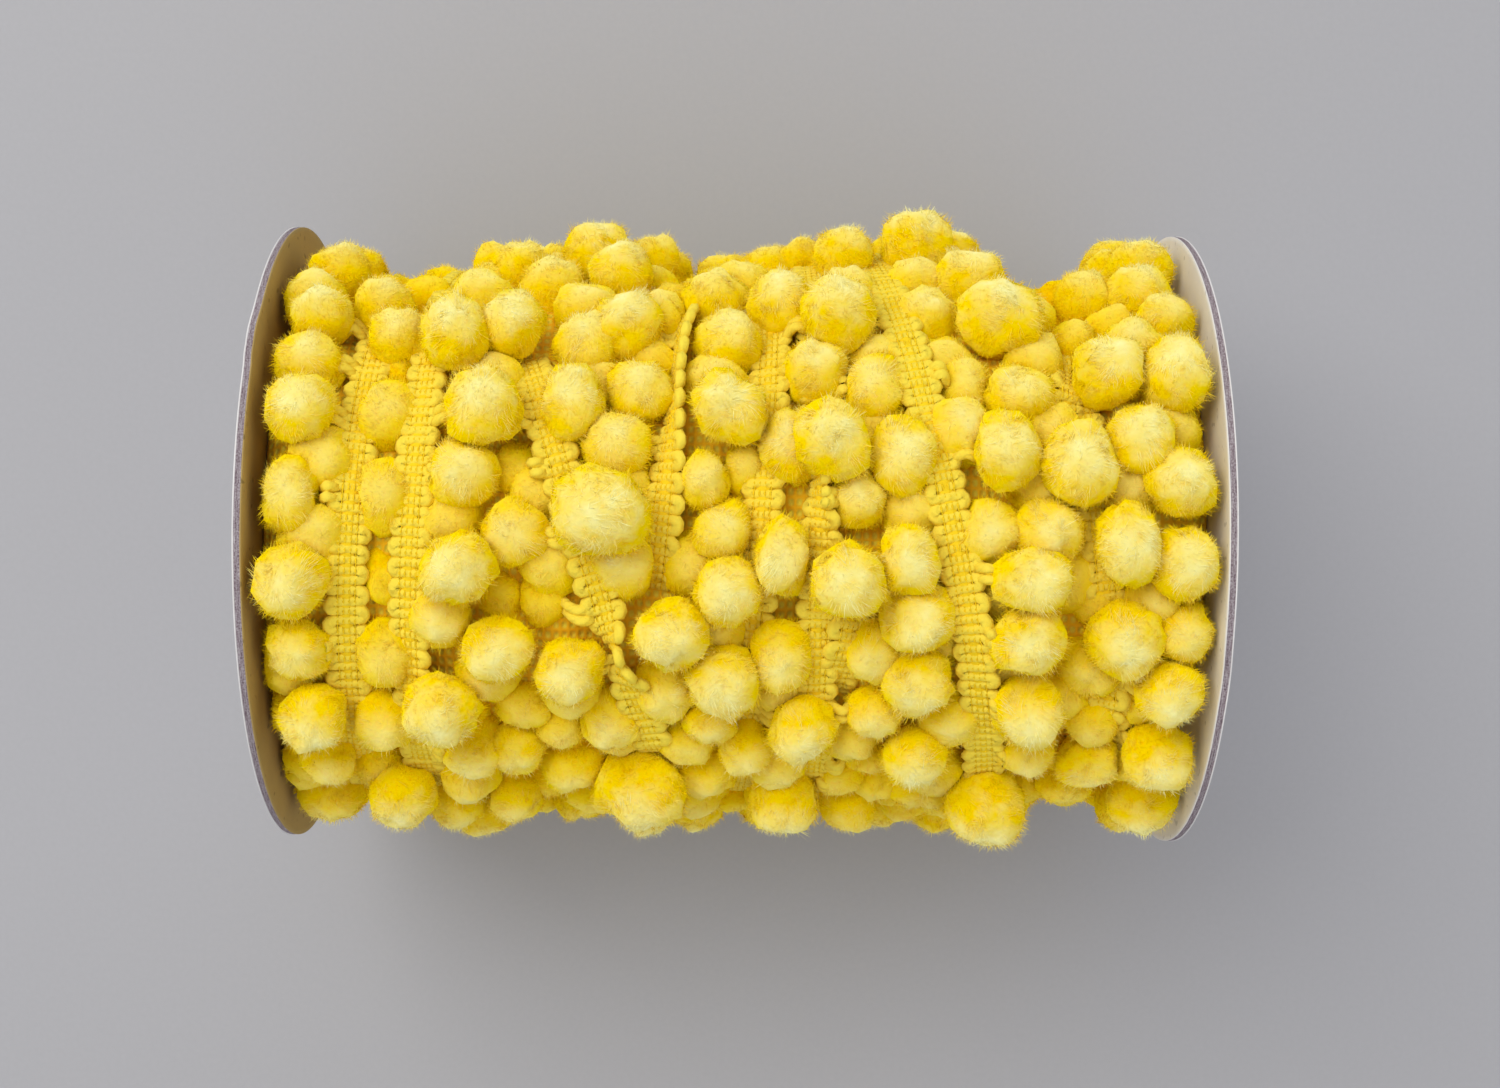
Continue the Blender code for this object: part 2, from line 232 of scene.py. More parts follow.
def node(tree, kind, inputs=None, stops=None, **settings):
    """Adds a node. inputs gives a socket its value or the output that feeds it, and stops are a ramp's."""
    made = tree.nodes.new(kind)
    for setting, value in settings.items():
        setattr(made, setting, value)
    for at, (position, colour) in enumerate(stops or ()):
        ramp = made.color_ramp.elements
        stop = ramp[at] if at < len(ramp) else ramp.new(position)
        stop.position = position
        stop.color = (*colour, 1.0)
    for socket, value in (inputs or {}).items():
        if isinstance(value, bpy.types.NodeSocket):
            tree.links.new(value, made.inputs[socket])
        else:
            made.inputs[socket].default_value = value
    return made


def blank_material(name):
    """A material with its shader and nothing else, and the tree it is in."""
    material = bpy.data.materials.new(name)
    material.use_nodes = True
    return material, material.node_tree, material.node_tree.nodes["Principled BSDF"]


def finish_surface(tree, shader, colour, height, strength, depth, constants):
    """Gives the shader its colour, its relief as a bump this strong and deep, and its constant sockets."""
    bump = node(tree, "ShaderNodeBump", {"Height": height, "Strength": strength, "Distance": depth})
    tree.links.new(colour, shader.inputs["Base Color"])
    tree.links.new(bump.outputs[0], shader.inputs["Normal"])
    for socket, value in constants.items():
        shader.inputs[socket].default_value = value


def share_from_axis(tree, place_on, ranges):
    """For each range of distances from the spool's axis, an output that grows over it from 0 to 1."""
    from_axis = node(
        tree, "ShaderNodeVectorMath", {0: place_on, 1: (0, 0, AXIS_HEIGHT)}, operation="SUBTRACT"
    ).outputs[0]
    across = node(
        tree, "ShaderNodeVectorMath", {0: from_axis, 1: (0, 1, 1)}, operation="MULTIPLY"
    ).outputs[0]
    away = node(tree, "ShaderNodeVectorMath", {0: across}, operation="LENGTH").outputs["Value"]
    return [
        node(
            tree, "ShaderNodeMapRange", {"Value": away, "From Min": nearest, "From Max": farthest}
        ).outputs["Result"]
        for nearest, farthest in ranges
    ]


def acrylic_pile(settings):
    """Cut acrylic pile. Bulky yarn ends fluffed into a velvet: matt and golden, with a painted highlight, pale,
    on the fibre ends that face out and lie high, and painted orange shade deep between the pompoms."""
    material, tree, shader = blank_material("cut acrylic pile")
    place_on = node(tree, "ShaderNodeTexCoord").outputs["Object"]
    painted_highlight_height, clear_of_painted_shade = share_from_axis(tree, place_on, (PILE_PAINTED_HIGHLIGHT, PILE_PAINTED_SHADE))
    # The pile attribute grows from root to tip and is highest where the ball faces out: it places the painted
    # highlight.
    painted_fibre_highlight = node(tree, "ShaderNodeAttribute", attribute_name="pile").outputs["Fac"]
    # Tufts are about 3 mm across, single fibre bundles about 0.7 mm.
    tufts = node(tree, "ShaderNodeTexNoise", {"Vector": place_on, "Scale": 330, "Detail": 2.0}).outputs["Fac"]
    bundles = node(
        tree, "ShaderNodeTexNoise", {"Vector": place_on, "Scale": 1400, "Detail": 1.0}
    ).outputs["Fac"]
    uneven = node(tree, "ShaderNodeMath", {0: tufts, 1: 0.9, 2: -0.47}, operation="MULTIPLY_ADD").outputs[0]
    tipped = node(
        tree, "ShaderNodeMath", {0: painted_fibre_highlight, 1: uneven}, operation="ADD", use_clamp=True
    ).outputs[0]
    # Painted highlight: the pale tip colour shows only on pile that faces out and lies far from the axis.
    painted_highlight_share = node(tree, "ShaderNodeMath", {0: tipped, 1: painted_highlight_height}, operation="MULTIPLY").outputs[0]
    # Painted shade: the deep orange colour where the pile lies near the axis, broken up by the fibre bundles.
    grainy = node(tree, "ShaderNodeMath", {0: bundles, 1: 0.8, 2: 0.6}, operation="MULTIPLY_ADD").outputs[0]
    grained = node(
        tree, "ShaderNodeMath", {0: clear_of_painted_shade, 1: grainy}, operation="MULTIPLY", use_clamp=True
    ).outputs[0]
    root_and_painted_shade = node(
        tree,
        "ShaderNodeMix",
        {0: grained, 6: (*settings.deep, 1), 7: (*settings.root, 1)},
        data_type="RGBA",
    ).outputs[2]
    colour = node(
        tree, "ShaderNodeMix", {0: painted_highlight_share, 6: root_and_painted_shade, 7: (*settings.tip, 1)}, data_type="RGBA"
    ).outputs[2]
    finish_surface(tree, shader, colour, bundles, 0.6, 0.4 * MM, {
        "Roughness": 0.9,
        "Specular IOR Level": 0.0,
        "Diffuse Roughness": 1.0,
        "Sheen Weight": 0.03,
        "Sheen Roughness": 0.45,
        "Sheen Tint": (*linear("#FFF3A0"), 1),
    })
    return material


def gimp_yarn(name, colour, deep):
    """Spun acrylic yarn. Smooth plied strands: a soft sheen on each bulge, fine slanting plies, and the same
    painted orange shade as the pile where it lies near the axis."""
    material, tree, shader = blank_material(name)
    place_on = node(tree, "ShaderNodeTexCoord").outputs["Object"]
    height, = share_from_axis(tree, place_on, (YARN_PAINTED_SHADE,))
    # The map runs in millimetres: one ply crosses every 0.9 mm of yarn.
    on_yarn = node(tree, "ShaderNodeUVMap", uv_map="yarn").outputs["UV"]
    plies = node(
        tree,
        "ShaderNodeTexWave",
        {"Vector": on_yarn, "Scale": 0.35, "Distortion": 1.5, "Detail": 2.0, "Detail Scale": 2.0},
        bands_direction="DIAGONAL",
    ).outputs["Fac"]
    blotches = node(
        tree, "ShaderNodeTexNoise", {"Vector": place_on, "Scale": 420, "Detail": 3.0}
    ).outputs["Fac"]
    shade = node(tree, "ShaderNodeMath", {0: blotches, 1: 0.5, 2: 0.35}, operation="MULTIPLY_ADD").outputs[0]
    lit = node(
        tree,
        "ShaderNodeMix",
        {0: shade, 6: (*(np.array(colour) * (1, 0.9, 0.4)), 1), 7: (*colour, 1)},
        data_type="RGBA",
    ).outputs[2]
    # Painted shade: the deep orange colour where the yarn lies near the axis.
    mixed = node(tree, "ShaderNodeMix", {0: height, 6: (*deep, 1), 7: lit}, data_type="RGBA").outputs[2]
    fuzz = node(tree, "ShaderNodeTexNoise", {"Vector": place_on, "Scale": 2600, "Detail": 1.0}).outputs["Fac"]
    relief = node(tree, "ShaderNodeMath", {0: fuzz, 1: 0.8, 2: plies}, operation="MULTIPLY_ADD").outputs[0]
    finish_surface(tree, shader, mixed, relief, 0.6, 0.2 * MM, {
        "Roughness": 0.7,
        "Specular IOR Level": 0.06,
        "Sheen Weight": 0.03,
        "Sheen Roughness": 0.4,
        "Sheen Tint": (*linear("#FFF3A0"), 1),
    })
    return material


def inner_turns_yarn(settings):
    """The trim's deeper turns. Rows of the same gimp yarn seen far down between the pompoms, in painted orange
    shade.
    """
    material, tree, shader = blank_material("wound gimp braid in shade")
    on_turns = node(tree, "ShaderNodeUVMap", uv_map="turns").outputs["UV"]
    # The map runs in millimetres: a run of yarn every 1.7 mm round the spool, a stitch every 1.4 mm along it.
    runs = node(
        tree,
        "ShaderNodeTexWave",
        {"Vector": on_turns, "Scale": 0.18, "Distortion": 0.4, "Detail": 1.0},
        bands_direction="Y",
    ).outputs["Fac"]
    beads = node(
        tree,
        "ShaderNodeTexWave",
        {"Vector": on_turns, "Scale": 0.22, "Distortion": 0.4, "Detail": 1.0},
        bands_direction="X",
    ).outputs["Fac"]
    height = node(tree, "ShaderNodeMath", {0: runs, 1: beads}, operation="MULTIPLY").outputs[0]
    # Painted shade: deeper orange low in the relief, yellow on top of the runs.
    colour = node(
        tree,
        "ShaderNodeValToRGB",
        {"Fac": height},
        stops=[(0.0, linear("#FFC600")), (0.6, linear("#FBE540"))],
    ).outputs["Color"]
    finish_surface(tree, shader, colour, height, 0.7, 0.6 * MM, {"Roughness": 0.9})
    return material


def paper(name, colour, roughness, fleck):
    """Uncoated or lightly coated liner paper on board: a faint cloud of pulp and single darker fibres. fleck
    is how light those are beside the paper."""
    material, tree, shader = blank_material(name)
    place_on = node(tree, "ShaderNodeTexCoord").outputs["Object"]
    # Clouds of pulp are about 8 mm across and the paper's grain 0.5 mm.
    clouds, grain, specks = (
        node(
            tree, "ShaderNodeTexNoise", {"Vector": place_on, "Scale": scale, "Detail": detail}
        ).outputs["Fac"]
        for scale, detail in ((120, 4.0), (2000, 2.0), (700, 0.0))
    )
    colour = np.array(colour)
    clouded = node(
        tree,
        "ShaderNodeMix",
        {0: clouds, 6: (*(colour * 0.86), 1), 7: (*np.minimum(colour * 1.1, 1), 1)},
        data_type="RGBA",
    ).outputs[2]
    dark = node(tree, "ShaderNodeMapRange", {"Value": specks, "From Min": 0.76, "From Max": 0.82}).outputs[0]
    speckled = node(
        tree, "ShaderNodeMix", {0: dark, 6: clouded, 7: (*(colour * fleck), 1)}, data_type="RGBA"
    ).outputs[2]
    finish_surface(tree, shader, speckled, grain, 0.25, 0.1 * MM, {
        "Roughness": roughness,
        "Specular IOR Level": 0.3,
    })
    return material


def cut_greyboard(settings):
    """The die-cut edge of greyboard: pressed plies of recycled pulp, mauve grey, streaked dark and pale."""
    material, tree, shader = blank_material("cut edge of greyboard")
    on_edge = node(tree, "ShaderNodeUVMap", uv_map="edge").outputs["UV"]
    # Streaks are 3 mm long and a fifth of a millimetre thick.
    stretched = node(
        tree, "ShaderNodeMapping", {"Vector": on_edge, "Scale": (0.35, 4.5, 1)}
    ).outputs["Vector"]
    streaks = node(
        tree, "ShaderNodeTexNoise", {"Vector": stretched, "Scale": 1.0, "Detail": 3.0}
    ).outputs["Fac"]
    pulp = node(tree, "ShaderNodeTexNoise", {"Vector": on_edge, "Scale": 3.0, "Detail": 2.0}).outputs["Fac"]
    mixed = node(tree, "ShaderNodeMath", {0: streaks, 1: 0.65, 2: -0.15}, operation="MULTIPLY_ADD").outputs[0]
    total = node(tree, "ShaderNodeMath", {0: pulp, 1: 0.65, 2: mixed}, operation="MULTIPLY_ADD").outputs[0]
    colour = node(
        tree,
        "ShaderNodeValToRGB",
        {"Fac": total},
        stops=[
            (0.3, settings.board_dark),
            (0.47, settings.board),
            (0.68, linear("#BDB7BC")),
        ],
    ).outputs["Color"]
    finish_surface(tree, shader, colour, streaks, 0.6, 0.15 * MM, {
        "Roughness": 0.95,
        "Specular IOR Level": 0.2,
    })
    return material


def floor_paint(settings):
    """Matt paint on board: even, with the faintest roller texture."""
    material, tree, shader = blank_material("matt painted board")
    place_on = node(tree, "ShaderNodeTexCoord").outputs["Object"]
    roller = node(
        tree, "ShaderNodeTexNoise", {"Vector": place_on, "Scale": 900, "Detail": 2.0}
    ).outputs["Fac"]
    colour = np.array(settings.floor)
    tone = node(
        tree,
        "ShaderNodeMix",
        {0: roller, 6: (*(colour * 0.97), 1), 7: (*(colour * 1.03), 1)},
        data_type="RGBA",
    ).outputs[2]
    finish_surface(tree, shader, tone, roller, 0.1, 0.1 * MM, {"Roughness": 0.9})
    return material


def skin(grid):
    """The four corners of every cell of a grid of numbers, in order round the cell."""
    near, far = grid[..., :-1, :], grid[..., 1:, :]
    cells = np.stack([near[..., :-1], near[..., 1:], far[..., 1:], far[..., :-1]], axis=-1)
    return cells.reshape(-1, 4)


def lapped(grid, axis):
    """The grid with its first row or column again at the end, so that its skin closes."""
    return np.concatenate([grid, np.take(grid, [0], axis=axis)], axis=axis)


def caps(grid):
    """Triangles that close a grid's first and last row, to two middle points numbered next after the grid's."""
    near, far = lapped(grid[0], 0), lapped(grid[-1], 0)
    first = np.stack([near[1:], near[:-1], np.full(len(near) - 1, grid.size)], axis=-1)
    last = np.stack([far[:-1], far[1:], np.full(len(far) - 1, grid.size + 1)], axis=-1)
    return first, last


def numbers(*shape):
    """The numbers from 0 up, laid out in this shape."""
    return np.arange(int(np.prod(shape))).reshape(shape)


def make_piece(name, points, faces, materials, slots=None, smooth=None, maps=None, pile=None):
    """A piece of the trim from whole arrays, riding on the spool.

    faces is a list of arrays, one for each number of sides. slots and smooth hold a value for each face, maps
    two numbers for each corner, and pile one for each point.
    """
    corners = np.concatenate([block.ravel() for block in faces]).astype(np.int32)
    sides = np.concatenate([np.full(len(block), block.shape[1]) for block in faces])
    mesh = bpy.data.meshes.new(name)
    mesh.vertices.add(len(points))
    mesh.vertices.foreach_set("co", np.ascontiguousarray(points, np.float32).ravel())
    mesh.loops.add(len(corners))
    mesh.loops.foreach_set("vertex_index", corners)
    mesh.polygons.add(len(sides))
    mesh.polygons.foreach_set("loop_start", (np.cumsum(sides) - sides).astype(np.int32))
    for material in materials:
        mesh.materials.append(material)
    if slots is not None:
        mesh.polygons.foreach_set("material_index", np.asarray(slots, np.int32))
    smooth = np.ones(len(sides), bool) if smooth is None else smooth
    mesh.polygons.foreach_set("use_smooth", smooth)
    for map_name, spots in (maps or {}).items():
        layer = mesh.uv_layers.new(name=map_name)
        layer.uv.foreach_set("vector", np.ascontiguousarray(spots, np.float32).ravel())
    if pile is not None:
        mesh.attributes.new("pile", "FLOAT", "POINT").data.foreach_set("value", pile.astype(np.float32))
    mesh.update(calc_edges=True)
    if mesh.validate():
        raise RuntimeError(f"{name} has faces that Blender had to mend")
    piece = bpy.data.objects.new(name, mesh)
    bpy.context.scene.collection.objects.link(piece)
    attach(piece, "root")
    return piece


def unit(vectors):
    """The same directions, each one long."""
    return vectors / np.maximum(np.linalg.norm(vectors, axis=-1, keepdims=True), 1e-12)


def place(x, angle, radius):
    """Points at these places along the spool, angles round it and distances from its axis."""
    return np.stack([x, radius * np.sin(angle), AXIS_HEIGHT + radius * np.cos(angle)], axis=-1)


def outward(angle):
    """Unit vectors that point away from the axis at these angles."""
    return place(np.zeros_like(angle), angle, np.ones_like(angle)) - (0, 0, AXIS_HEIGHT)


def row_x(row, angle):
    """Where a row of pompoms or a turn of braid lies along the spool at each angle."""
    bowed = ((1 + np.cos(angle)) / 2) ** 3
    return (row.mid + row.tilt * np.sin(angle) + row.bow * bowed) * MM


def inside_range(angle, first, last):
    """How far each angle lies inside this range of degrees, in radians, and negative outside it."""
    middle = np.radians((first + last) / 2)
    off = np.abs((angle - middle + np.pi) % FULL_TURN - np.pi)
    return np.radians((last - first) / 2) - off


def shown_share(braid, angle):
    """1 where the braid lies on top, fading to 0 where it dives under the pompoms."""
    if braid.shows_to - braid.shows_from >= 360:
        return np.ones_like(angle)
    return np.clip(inside_range(angle, braid.shows_from, braid.shows_to) / BRAID_FADE, 0, 1)


def braid_twist(braid, angle):
    """How far the braid is turned about its own length at each angle, with a slow sway besides its twist."""
    round_to = (angle - np.radians(braid.twist_at) + np.pi) % FULL_TURN - np.pi
    bump = np.exp(-((round_to / np.radians(braid.twist_span)) ** 2))
    return np.radians(braid.twist) * bump + np.radians(6) * np.sin(5 * angle + braid.mid)


def edge_half_width(braid, angle):
    """Half the width that the braid shows from outside at each angle."""
    return np.maximum(np.abs(np.cos(braid_twist(braid, angle))) * BRAID_HALF_SHOWN, BRAID_HALF_THICK)


def rows_of_pompoms():
    """Each pompom's place along the spool, angle, distance from the axis and row, as its row holds it."""
    dice = np.random.default_rng(LAYING_SEED)
    x, angle, radius, row = [], [], [], []
    for number, turn in enumerate(TURNS):
        around = np.radians(turn.first) + np.arange(turn.count) * FULL_TURN / turn.count
        around += dice.normal(0, ALONG_SPREAD / CENTRE_RADIUS, turn.count)
        across = row_x(turn, around) + dice.normal(0, ACROSS_SPREAD, turn.count)
        level = CENTRE_RADIUS - turn.sunk * MM + dice.normal(0, OUTWARD_SPREAD, turn.count)
        kept = inside_range(around, turn.bare_from, turn.bare_to) <= 0
        x.append(across[kept])
        angle.append(around[kept])
        radius.append(level[kept])
        row.append(np.full(kept.sum(), number))
    return np.concatenate(x), np.concatenate(angle), np.concatenate(radius), np.concatenate(row)


def lay_pompoms():
    """The rows after their pompoms have pushed each other apart and made way for the raised braid."""
    x, angle, radius, row = rows_of_pompoms()
    for _ in range(PUSHING_ROUNDS):
        centres = place(x, angle, radius)
        away = centres[:, None] - centres[None]
        apart = np.linalg.norm(away, axis=-1) + 1e-9
        push = np.clip(CLOSEST_PAIR - apart, 0, None) / apart * PUSH_SHARE
        np.fill_diagonal(push, 0)
        moved = (push[..., None] * away).sum(axis=1)
        for braid in BRAIDS:
            beside = x - row_x(braid, angle)
            wanted = np.clip(BRAID_HALF_WIDTH + BESIDE_BRAID - np.abs(beside), 0, None)
            share = PUSH_SHARE * shown_share(braid, angle) * braid.rise / HIGHEST_RISE
            moved[:, 0] += np.sign(beside) * wanted * share
        out = outward(angle)
        around = np.cross(out, (1, 0, 0))
        x = (x + moved[:, 0]).clip(POMPOM_RADIUS - TRIM_END_X, TRIM_END_X - POMPOM_RADIUS)
        radius = (radius + (moved * out).sum(axis=1)).clip(*CENTRE_RANGE)
        angle = angle + (moved * around).sum(axis=1) / radius
    return x, angle, radius, row


def sizes_of_pompoms(x, angle, radius):
    """Each pompom's radius, so that it stays clear of its nearest neighbour and of the discs."""
    centres = place(x, angle, radius)
    apart = np.linalg.norm(centres[:, None] - centres[None], axis=-1)
    np.fill_diagonal(apart, 1.0)
    room = np.minimum(apart.min(axis=1) - GAP, 2 * (TRIM_END_X - np.abs(x)))
    return np.minimum(POMPOM_RADIUS, room / 2)


def body_radius(x, angle):
    """The wound body between the braids, gently uneven and lower beside the discs."""
    waves = np.sin(3 * angle + 60 * x) + np.sin(5 * angle - 90 * x + 1.0) + np.sin(140 * x + 2 * angle)
    shoulder = np.clip((TRIM_END_X - np.abs(x)) / SHOULDER_LENGTH, 0, 1)
    full_radius = BODY_RADIUS + BODY_UNEVENNESS * waves / 3
    return BODY_END_RADIUS + (full_radius - BODY_END_RADIUS) * shoulder


# The camera stands over the spool, a little off square, as the photograph was taken. Its place from the middle
# of the axis was fitted to the discs' outlines, in radii of a disc.
CAMERA_PLACE = np.array([-0.032, 0.121, 7.0]) * DISC_RADIUS + (0, 0, AXIS_HEIGHT)
CAMERA_TURN = np.radians([-1.24, -0.66, 0.54])
FOCAL_PIXELS = 2100.0
FRAME_PIXELS = 1500.0
PHOTO_MIDDLE = (750, 544)
SENSOR_WIDTH = 36.0

# The upper pompoms, read off the photograph: each one's middle across and down, half its width and
# half its height, in pixels of the photograph, and a level that says how far out it lies. The rows of pompoms
# hold the ones beyond. LEVEL_RADII gives each level's distance from the axis.
Seen = namedtuple("Seen", "across down half_width half_height level")
LEVELS = (-1, 0, 1, 2, 3, 4)
LEVEL_RADII = (46.5 * MM, 48.5 * MM, 51.5 * MM, 54.5 * MM, 56.5 * MM, 58.0 * MM)
UPPER_POMPOMS = [
    (342, 274, 34, 29, 1), (322, 317, 35, 32, 1.5), (309, 363, 37, 33, 1), (298, 410, 37, 38, 2),
    (291, 491, 30, 45, 1), (386, 310, 36, 28, 0.5), (399, 338, 33, 30, 1), (391, 417, 33, 41, 0),
    (386, 496, 30, 42, 0), (405, 378, 28, 22, -1), (385, 573, 26, 32, -1), (455, 335, 37, 40, 3),
    (485, 409, 41, 44, 3), (465, 476, 38, 39, 1), (515, 470, 26, 36, -1), (521, 270, 31, 32, 1),
    (492, 286, 24, 28, 0), (562, 264, 33, 26, 0), (513, 328, 36, 37, 2), (515, 533, 38, 38, 1),
    (291, 581, 38, 40, 2), (299, 650, 34, 34, 1), (314, 719, 37, 36, 2), (330, 757, 30, 28, 1),
    (345, 790, 30, 24, 0), (386, 650, 32, 39, 0), (457, 566, 42, 39, 3), (439, 706, 43, 39, 3),
    (498, 650, 39, 36, 2), (544, 600, 27, 36, -1), (500, 593, 30, 30, -1), (475, 745, 35, 30, 1),
    (517, 745, 30, 31, 1), (525, 700, 32, 28, 0), (560, 722, 30, 32, 0), (570, 668, 39, 36, 2),
    (404, 792, 37, 39, 2), (380, 758, 30, 32, 0), (457, 796, 34, 32, 1), (517, 792, 31, 35, 1),
    (548, 775, 24, 28, 0), (580, 797, 30, 28, 0.5), (606, 245, 36, 29, 1), (620, 275, 37, 30, 1.5),
    (654, 257, 29, 32, 1), (626, 326, 38, 37, 1.5), (587, 347, 37, 35, 1), (572, 401, 34, 42, 2),
    (642, 395, 35, 38, 1), (614, 445, 39, 37, 1), (601, 516, 60, 44, 4), (714, 304, 38, 36, 0.5),
    (670, 303, 22, 18, 0), (731, 345, 38, 35, 1), (730, 410, 40, 41, 3), (705, 480, 26, 35, 1),
    (746, 472, 24, 34, 0), (766, 256, 34, 27, 0.5), (797, 262, 34, 24, 1), (779, 305, 36, 38, 1.5),
    (815, 374, 34, 38, 1), (838, 252, 37, 30, 1), (838, 314, 45, 41, 3), (874, 392, 36, 39, 1),
    (833, 438, 41, 43, 4), (790, 447, 32, 43, 1), (858, 499, 34, 33, 1), (902, 463, 34, 46, 1.5),
    (723, 529, 34, 32, 1), (728, 591, 38, 39, 2), (672, 631, 43, 37, 3), (723, 681, 43, 40, 2),
    (711, 720, 32, 28, 1), (745, 744, 31, 31, 1), (782, 558, 26, 45, 2), (779, 656, 32, 41, 1),
    (805, 729, 37, 38, 2), (782, 795, 39, 36, 1.5), (848, 576, 43, 41, 4), (909, 561, 32, 40, 2.5),
    (874, 711, 32, 28, 1), (866, 752, 30, 26, 0), (838, 766, 30, 26, 0), (842, 797, 28, 20, 0),
    (611, 714, 36, 34, 0.5), (640, 787, 50, 42, 2), (735, 797, 27, 22, 0), (700, 787, 28, 22, 0),
    (916, 250, 42, 38, 2.5), (969, 284, 42, 34, 1.5), (1000, 322, 50, 36, 2), (966, 392, 26, 40, 0),
    (1018, 396, 39, 37, 1), (1008, 454, 37, 45, 2.5), (1081, 301, 33, 32, 0.5), (1108, 372, 41, 41, 2),
    (1072, 345, 24, 26, 0), (1135, 266, 34, 27, 0.5), (1136, 298, 37, 32, 1), (1163, 322, 33, 27, 1),
    (1174, 374, 37, 43, 2), (1142, 438, 38, 41, 2), (1079, 467, 42, 48, 2), (1181, 483, 38, 38, 2),
    (1048, 533, 40, 37, 1), (1034, 578, 44, 35, 3), (1029, 641, 41, 38, 2.5), (1027, 711, 40, 39, 2.5),
    (1026, 750, 30, 26, 1), (984, 804, 43, 44, 2.5), (1128, 545, 36, 48, 2), (1127, 640, 42, 42, 1.5),
    (1186, 560, 35, 43, 2), (1185, 631, 28, 36, 1), (1167, 694, 37, 36, 2), (1157, 755, 37, 38, 2),
    (1138, 799, 38, 32, 1.5), (1088, 664, 34, 36, 0), (1090, 716, 31, 30, 0), (1088, 760, 37, 30, 1),
    (1066, 780, 36, 26, 0.5), (1093, 600, 30, 32, -1), (919, 616, 41, 38, 1.5), (919, 683, 39, 38, 1.5),
    (915, 753, 37, 38, 1.5), (905, 790, 34, 26, 0),
]

# How the listed pompoms and the rows meet: a row has none nearer the top than this angle or within this
# distance of a listed one. The listed ones are made a little larger than they were read.
UPPER_END = np.radians(60)
UPPER_CLEARANCE = 9.0 * MM
UPPER_FLUFF = 1.05


def upper_pompoms():
    """The listed pompoms on the spool, in order along it: place along it, angle, distance from the axis, and
    half widths along and round it.

    The sight line through a pompom's middle meets the cylinder of its level where a quadratic says, at the
    root nearer the camera, and a pixel is worth the height below the camera over the focal length. Places and
    sizes are rounded to a tenth of a millimetre and a whole degree, finer than they can be read."""
    seen = Seen(*np.array(UPPER_POMPOMS, float).T)
    radius = np.interp(seen.level, LEVELS, LEVEL_RADII)
    camera = CAMERA_PLACE - (0, 0, AXIS_HEIGHT)
    right, up = seen.across - PHOTO_MIDDLE[0], PHOTO_MIDDLE[1] - seen.down
    sight = np.stack([right, up, np.full_like(up, -FOCAL_PIXELS)], axis=-1) / FOCAL_PIXELS
    sight = sight @ np.array(Euler(CAMERA_TURN).to_matrix()).T
    square = (sight[:, 1:] ** 2).sum(axis=1)
    half_slope = sight[:, 1:] @ camera[1:]
    rest = (camera[1:] ** 2).sum() - radius**2
    reached = (-half_slope - np.sqrt(np.clip(half_slope**2 - square * rest, 0, None))) / square
    x, y, z = (camera + sight * reached[:, None]).T
    angle = np.arctan2(y, z)
    per_pixel = (camera[2] - radius * np.cos(angle)) / FOCAL_PIXELS
    order = np.argsort(x)
    lengths = np.stack([x, radius, seen.half_width * per_pixel, seen.half_height * per_pixel])[:, order]
    x, radius, along, round_it = np.round(lengths / MM, 1) * MM
    return x, np.radians(np.round(np.degrees(angle[order]))), radius, along, round_it


# Places where the winding lies low, so that the outline dips: the middle as a place along the spool in mm and
# an angle in degrees, the half width along and round the spool in mm and degrees, and how many mm lower it
# lies. Where it lies lower by DIP_WITHOUT or more, the rows hold no pompoms.
Dip = namedtuple("Dip", "mid angle half_along half_round depth")
DIPS = [
    Dip(-63, 82, 11, 26, 11),
    Dip(-9.5, 82, 8, 24, 10),
    Dip(54.5, 82, 8, 26, 12),
    Dip(64, 82, 6, 26, 4),
    Dip(0, -92, 200, 42, 2.5),
    Dip(-78, -92, 7, 36, 5),
    Dip(64, -90, 12, 36, 5),
]
DIP_WITHOUT = 4.5 * MM

# Pompoms below the outer ones: the grid where they are tried, how near each other and the outer ones they may
# come, how clear of a braid's middle line they stay, how they sit, how much of a dip they and the wound body
# follow, and how deep they may lie
INNER_STEP = 2.0 * MM
INNER_JITTER = 0.6 * MM
INNER_REACH_X = 76.0 * MM
INNER_ROOM = 6.4 * MM
INNER_APART = 10.2 * MM
INNER_CLOSE = 9.2 * MM
INNER_BESIDE_BRAID = 5.0 * MM
INNER_LEVELS = (46.0 * MM, 50.5 * MM)
INNER_RADIUS = 6.6 * MM
INNER_SEED = 23
INNER_DIP_SHARE = 0.9
INNER_LOWEST = 41.0 * MM

# What a pompom's surface is like: the spread of its three widths, and the waves over it as (how many across
# it, their height as a share of its radius, how many there are). Some are hollow where the tie gathers them,
# and some have a furrow round the middle.
EGG_SPREAD = 0.05
WAVES = ((3.2, 0.04, 4), (6.5, 0.026, 5), (12.0, 0.02, 6))
HOLLOW_SHARE = 0.6
HOLLOW_DEPTH = (0.04, 0.18)
HOLLOW_WIDTH = 0.06
FURROW_SHARE = 0.5
FURROW_DEPTH = (0.03, 0.12)
FURROW_WIDTH = 0.14
VISIBLE_RADIUS = (0.98, 1.1)
TRAITS_SEED = 7

# How soft pompoms press on each other, the discs, the braids and the floor. Each keeps at least KEPT_ROUND of
# its radius against its neighbours, and laps OVER_BRAID over the edge of a braid.
PRESS_SOFTNESS = 1.2 * MM
NEIGHBOURS = 12
KEPT_ROUND = 0.92
OVER_BRAID = 2.6 * MM
FAR_OFF = 1.0

# The ball under the pile: its size as a share of the pompom, and its grid of faces
BALL_SHARE = 0.91
BALL_COLUMNS = 16
BALL_ROWS = 9

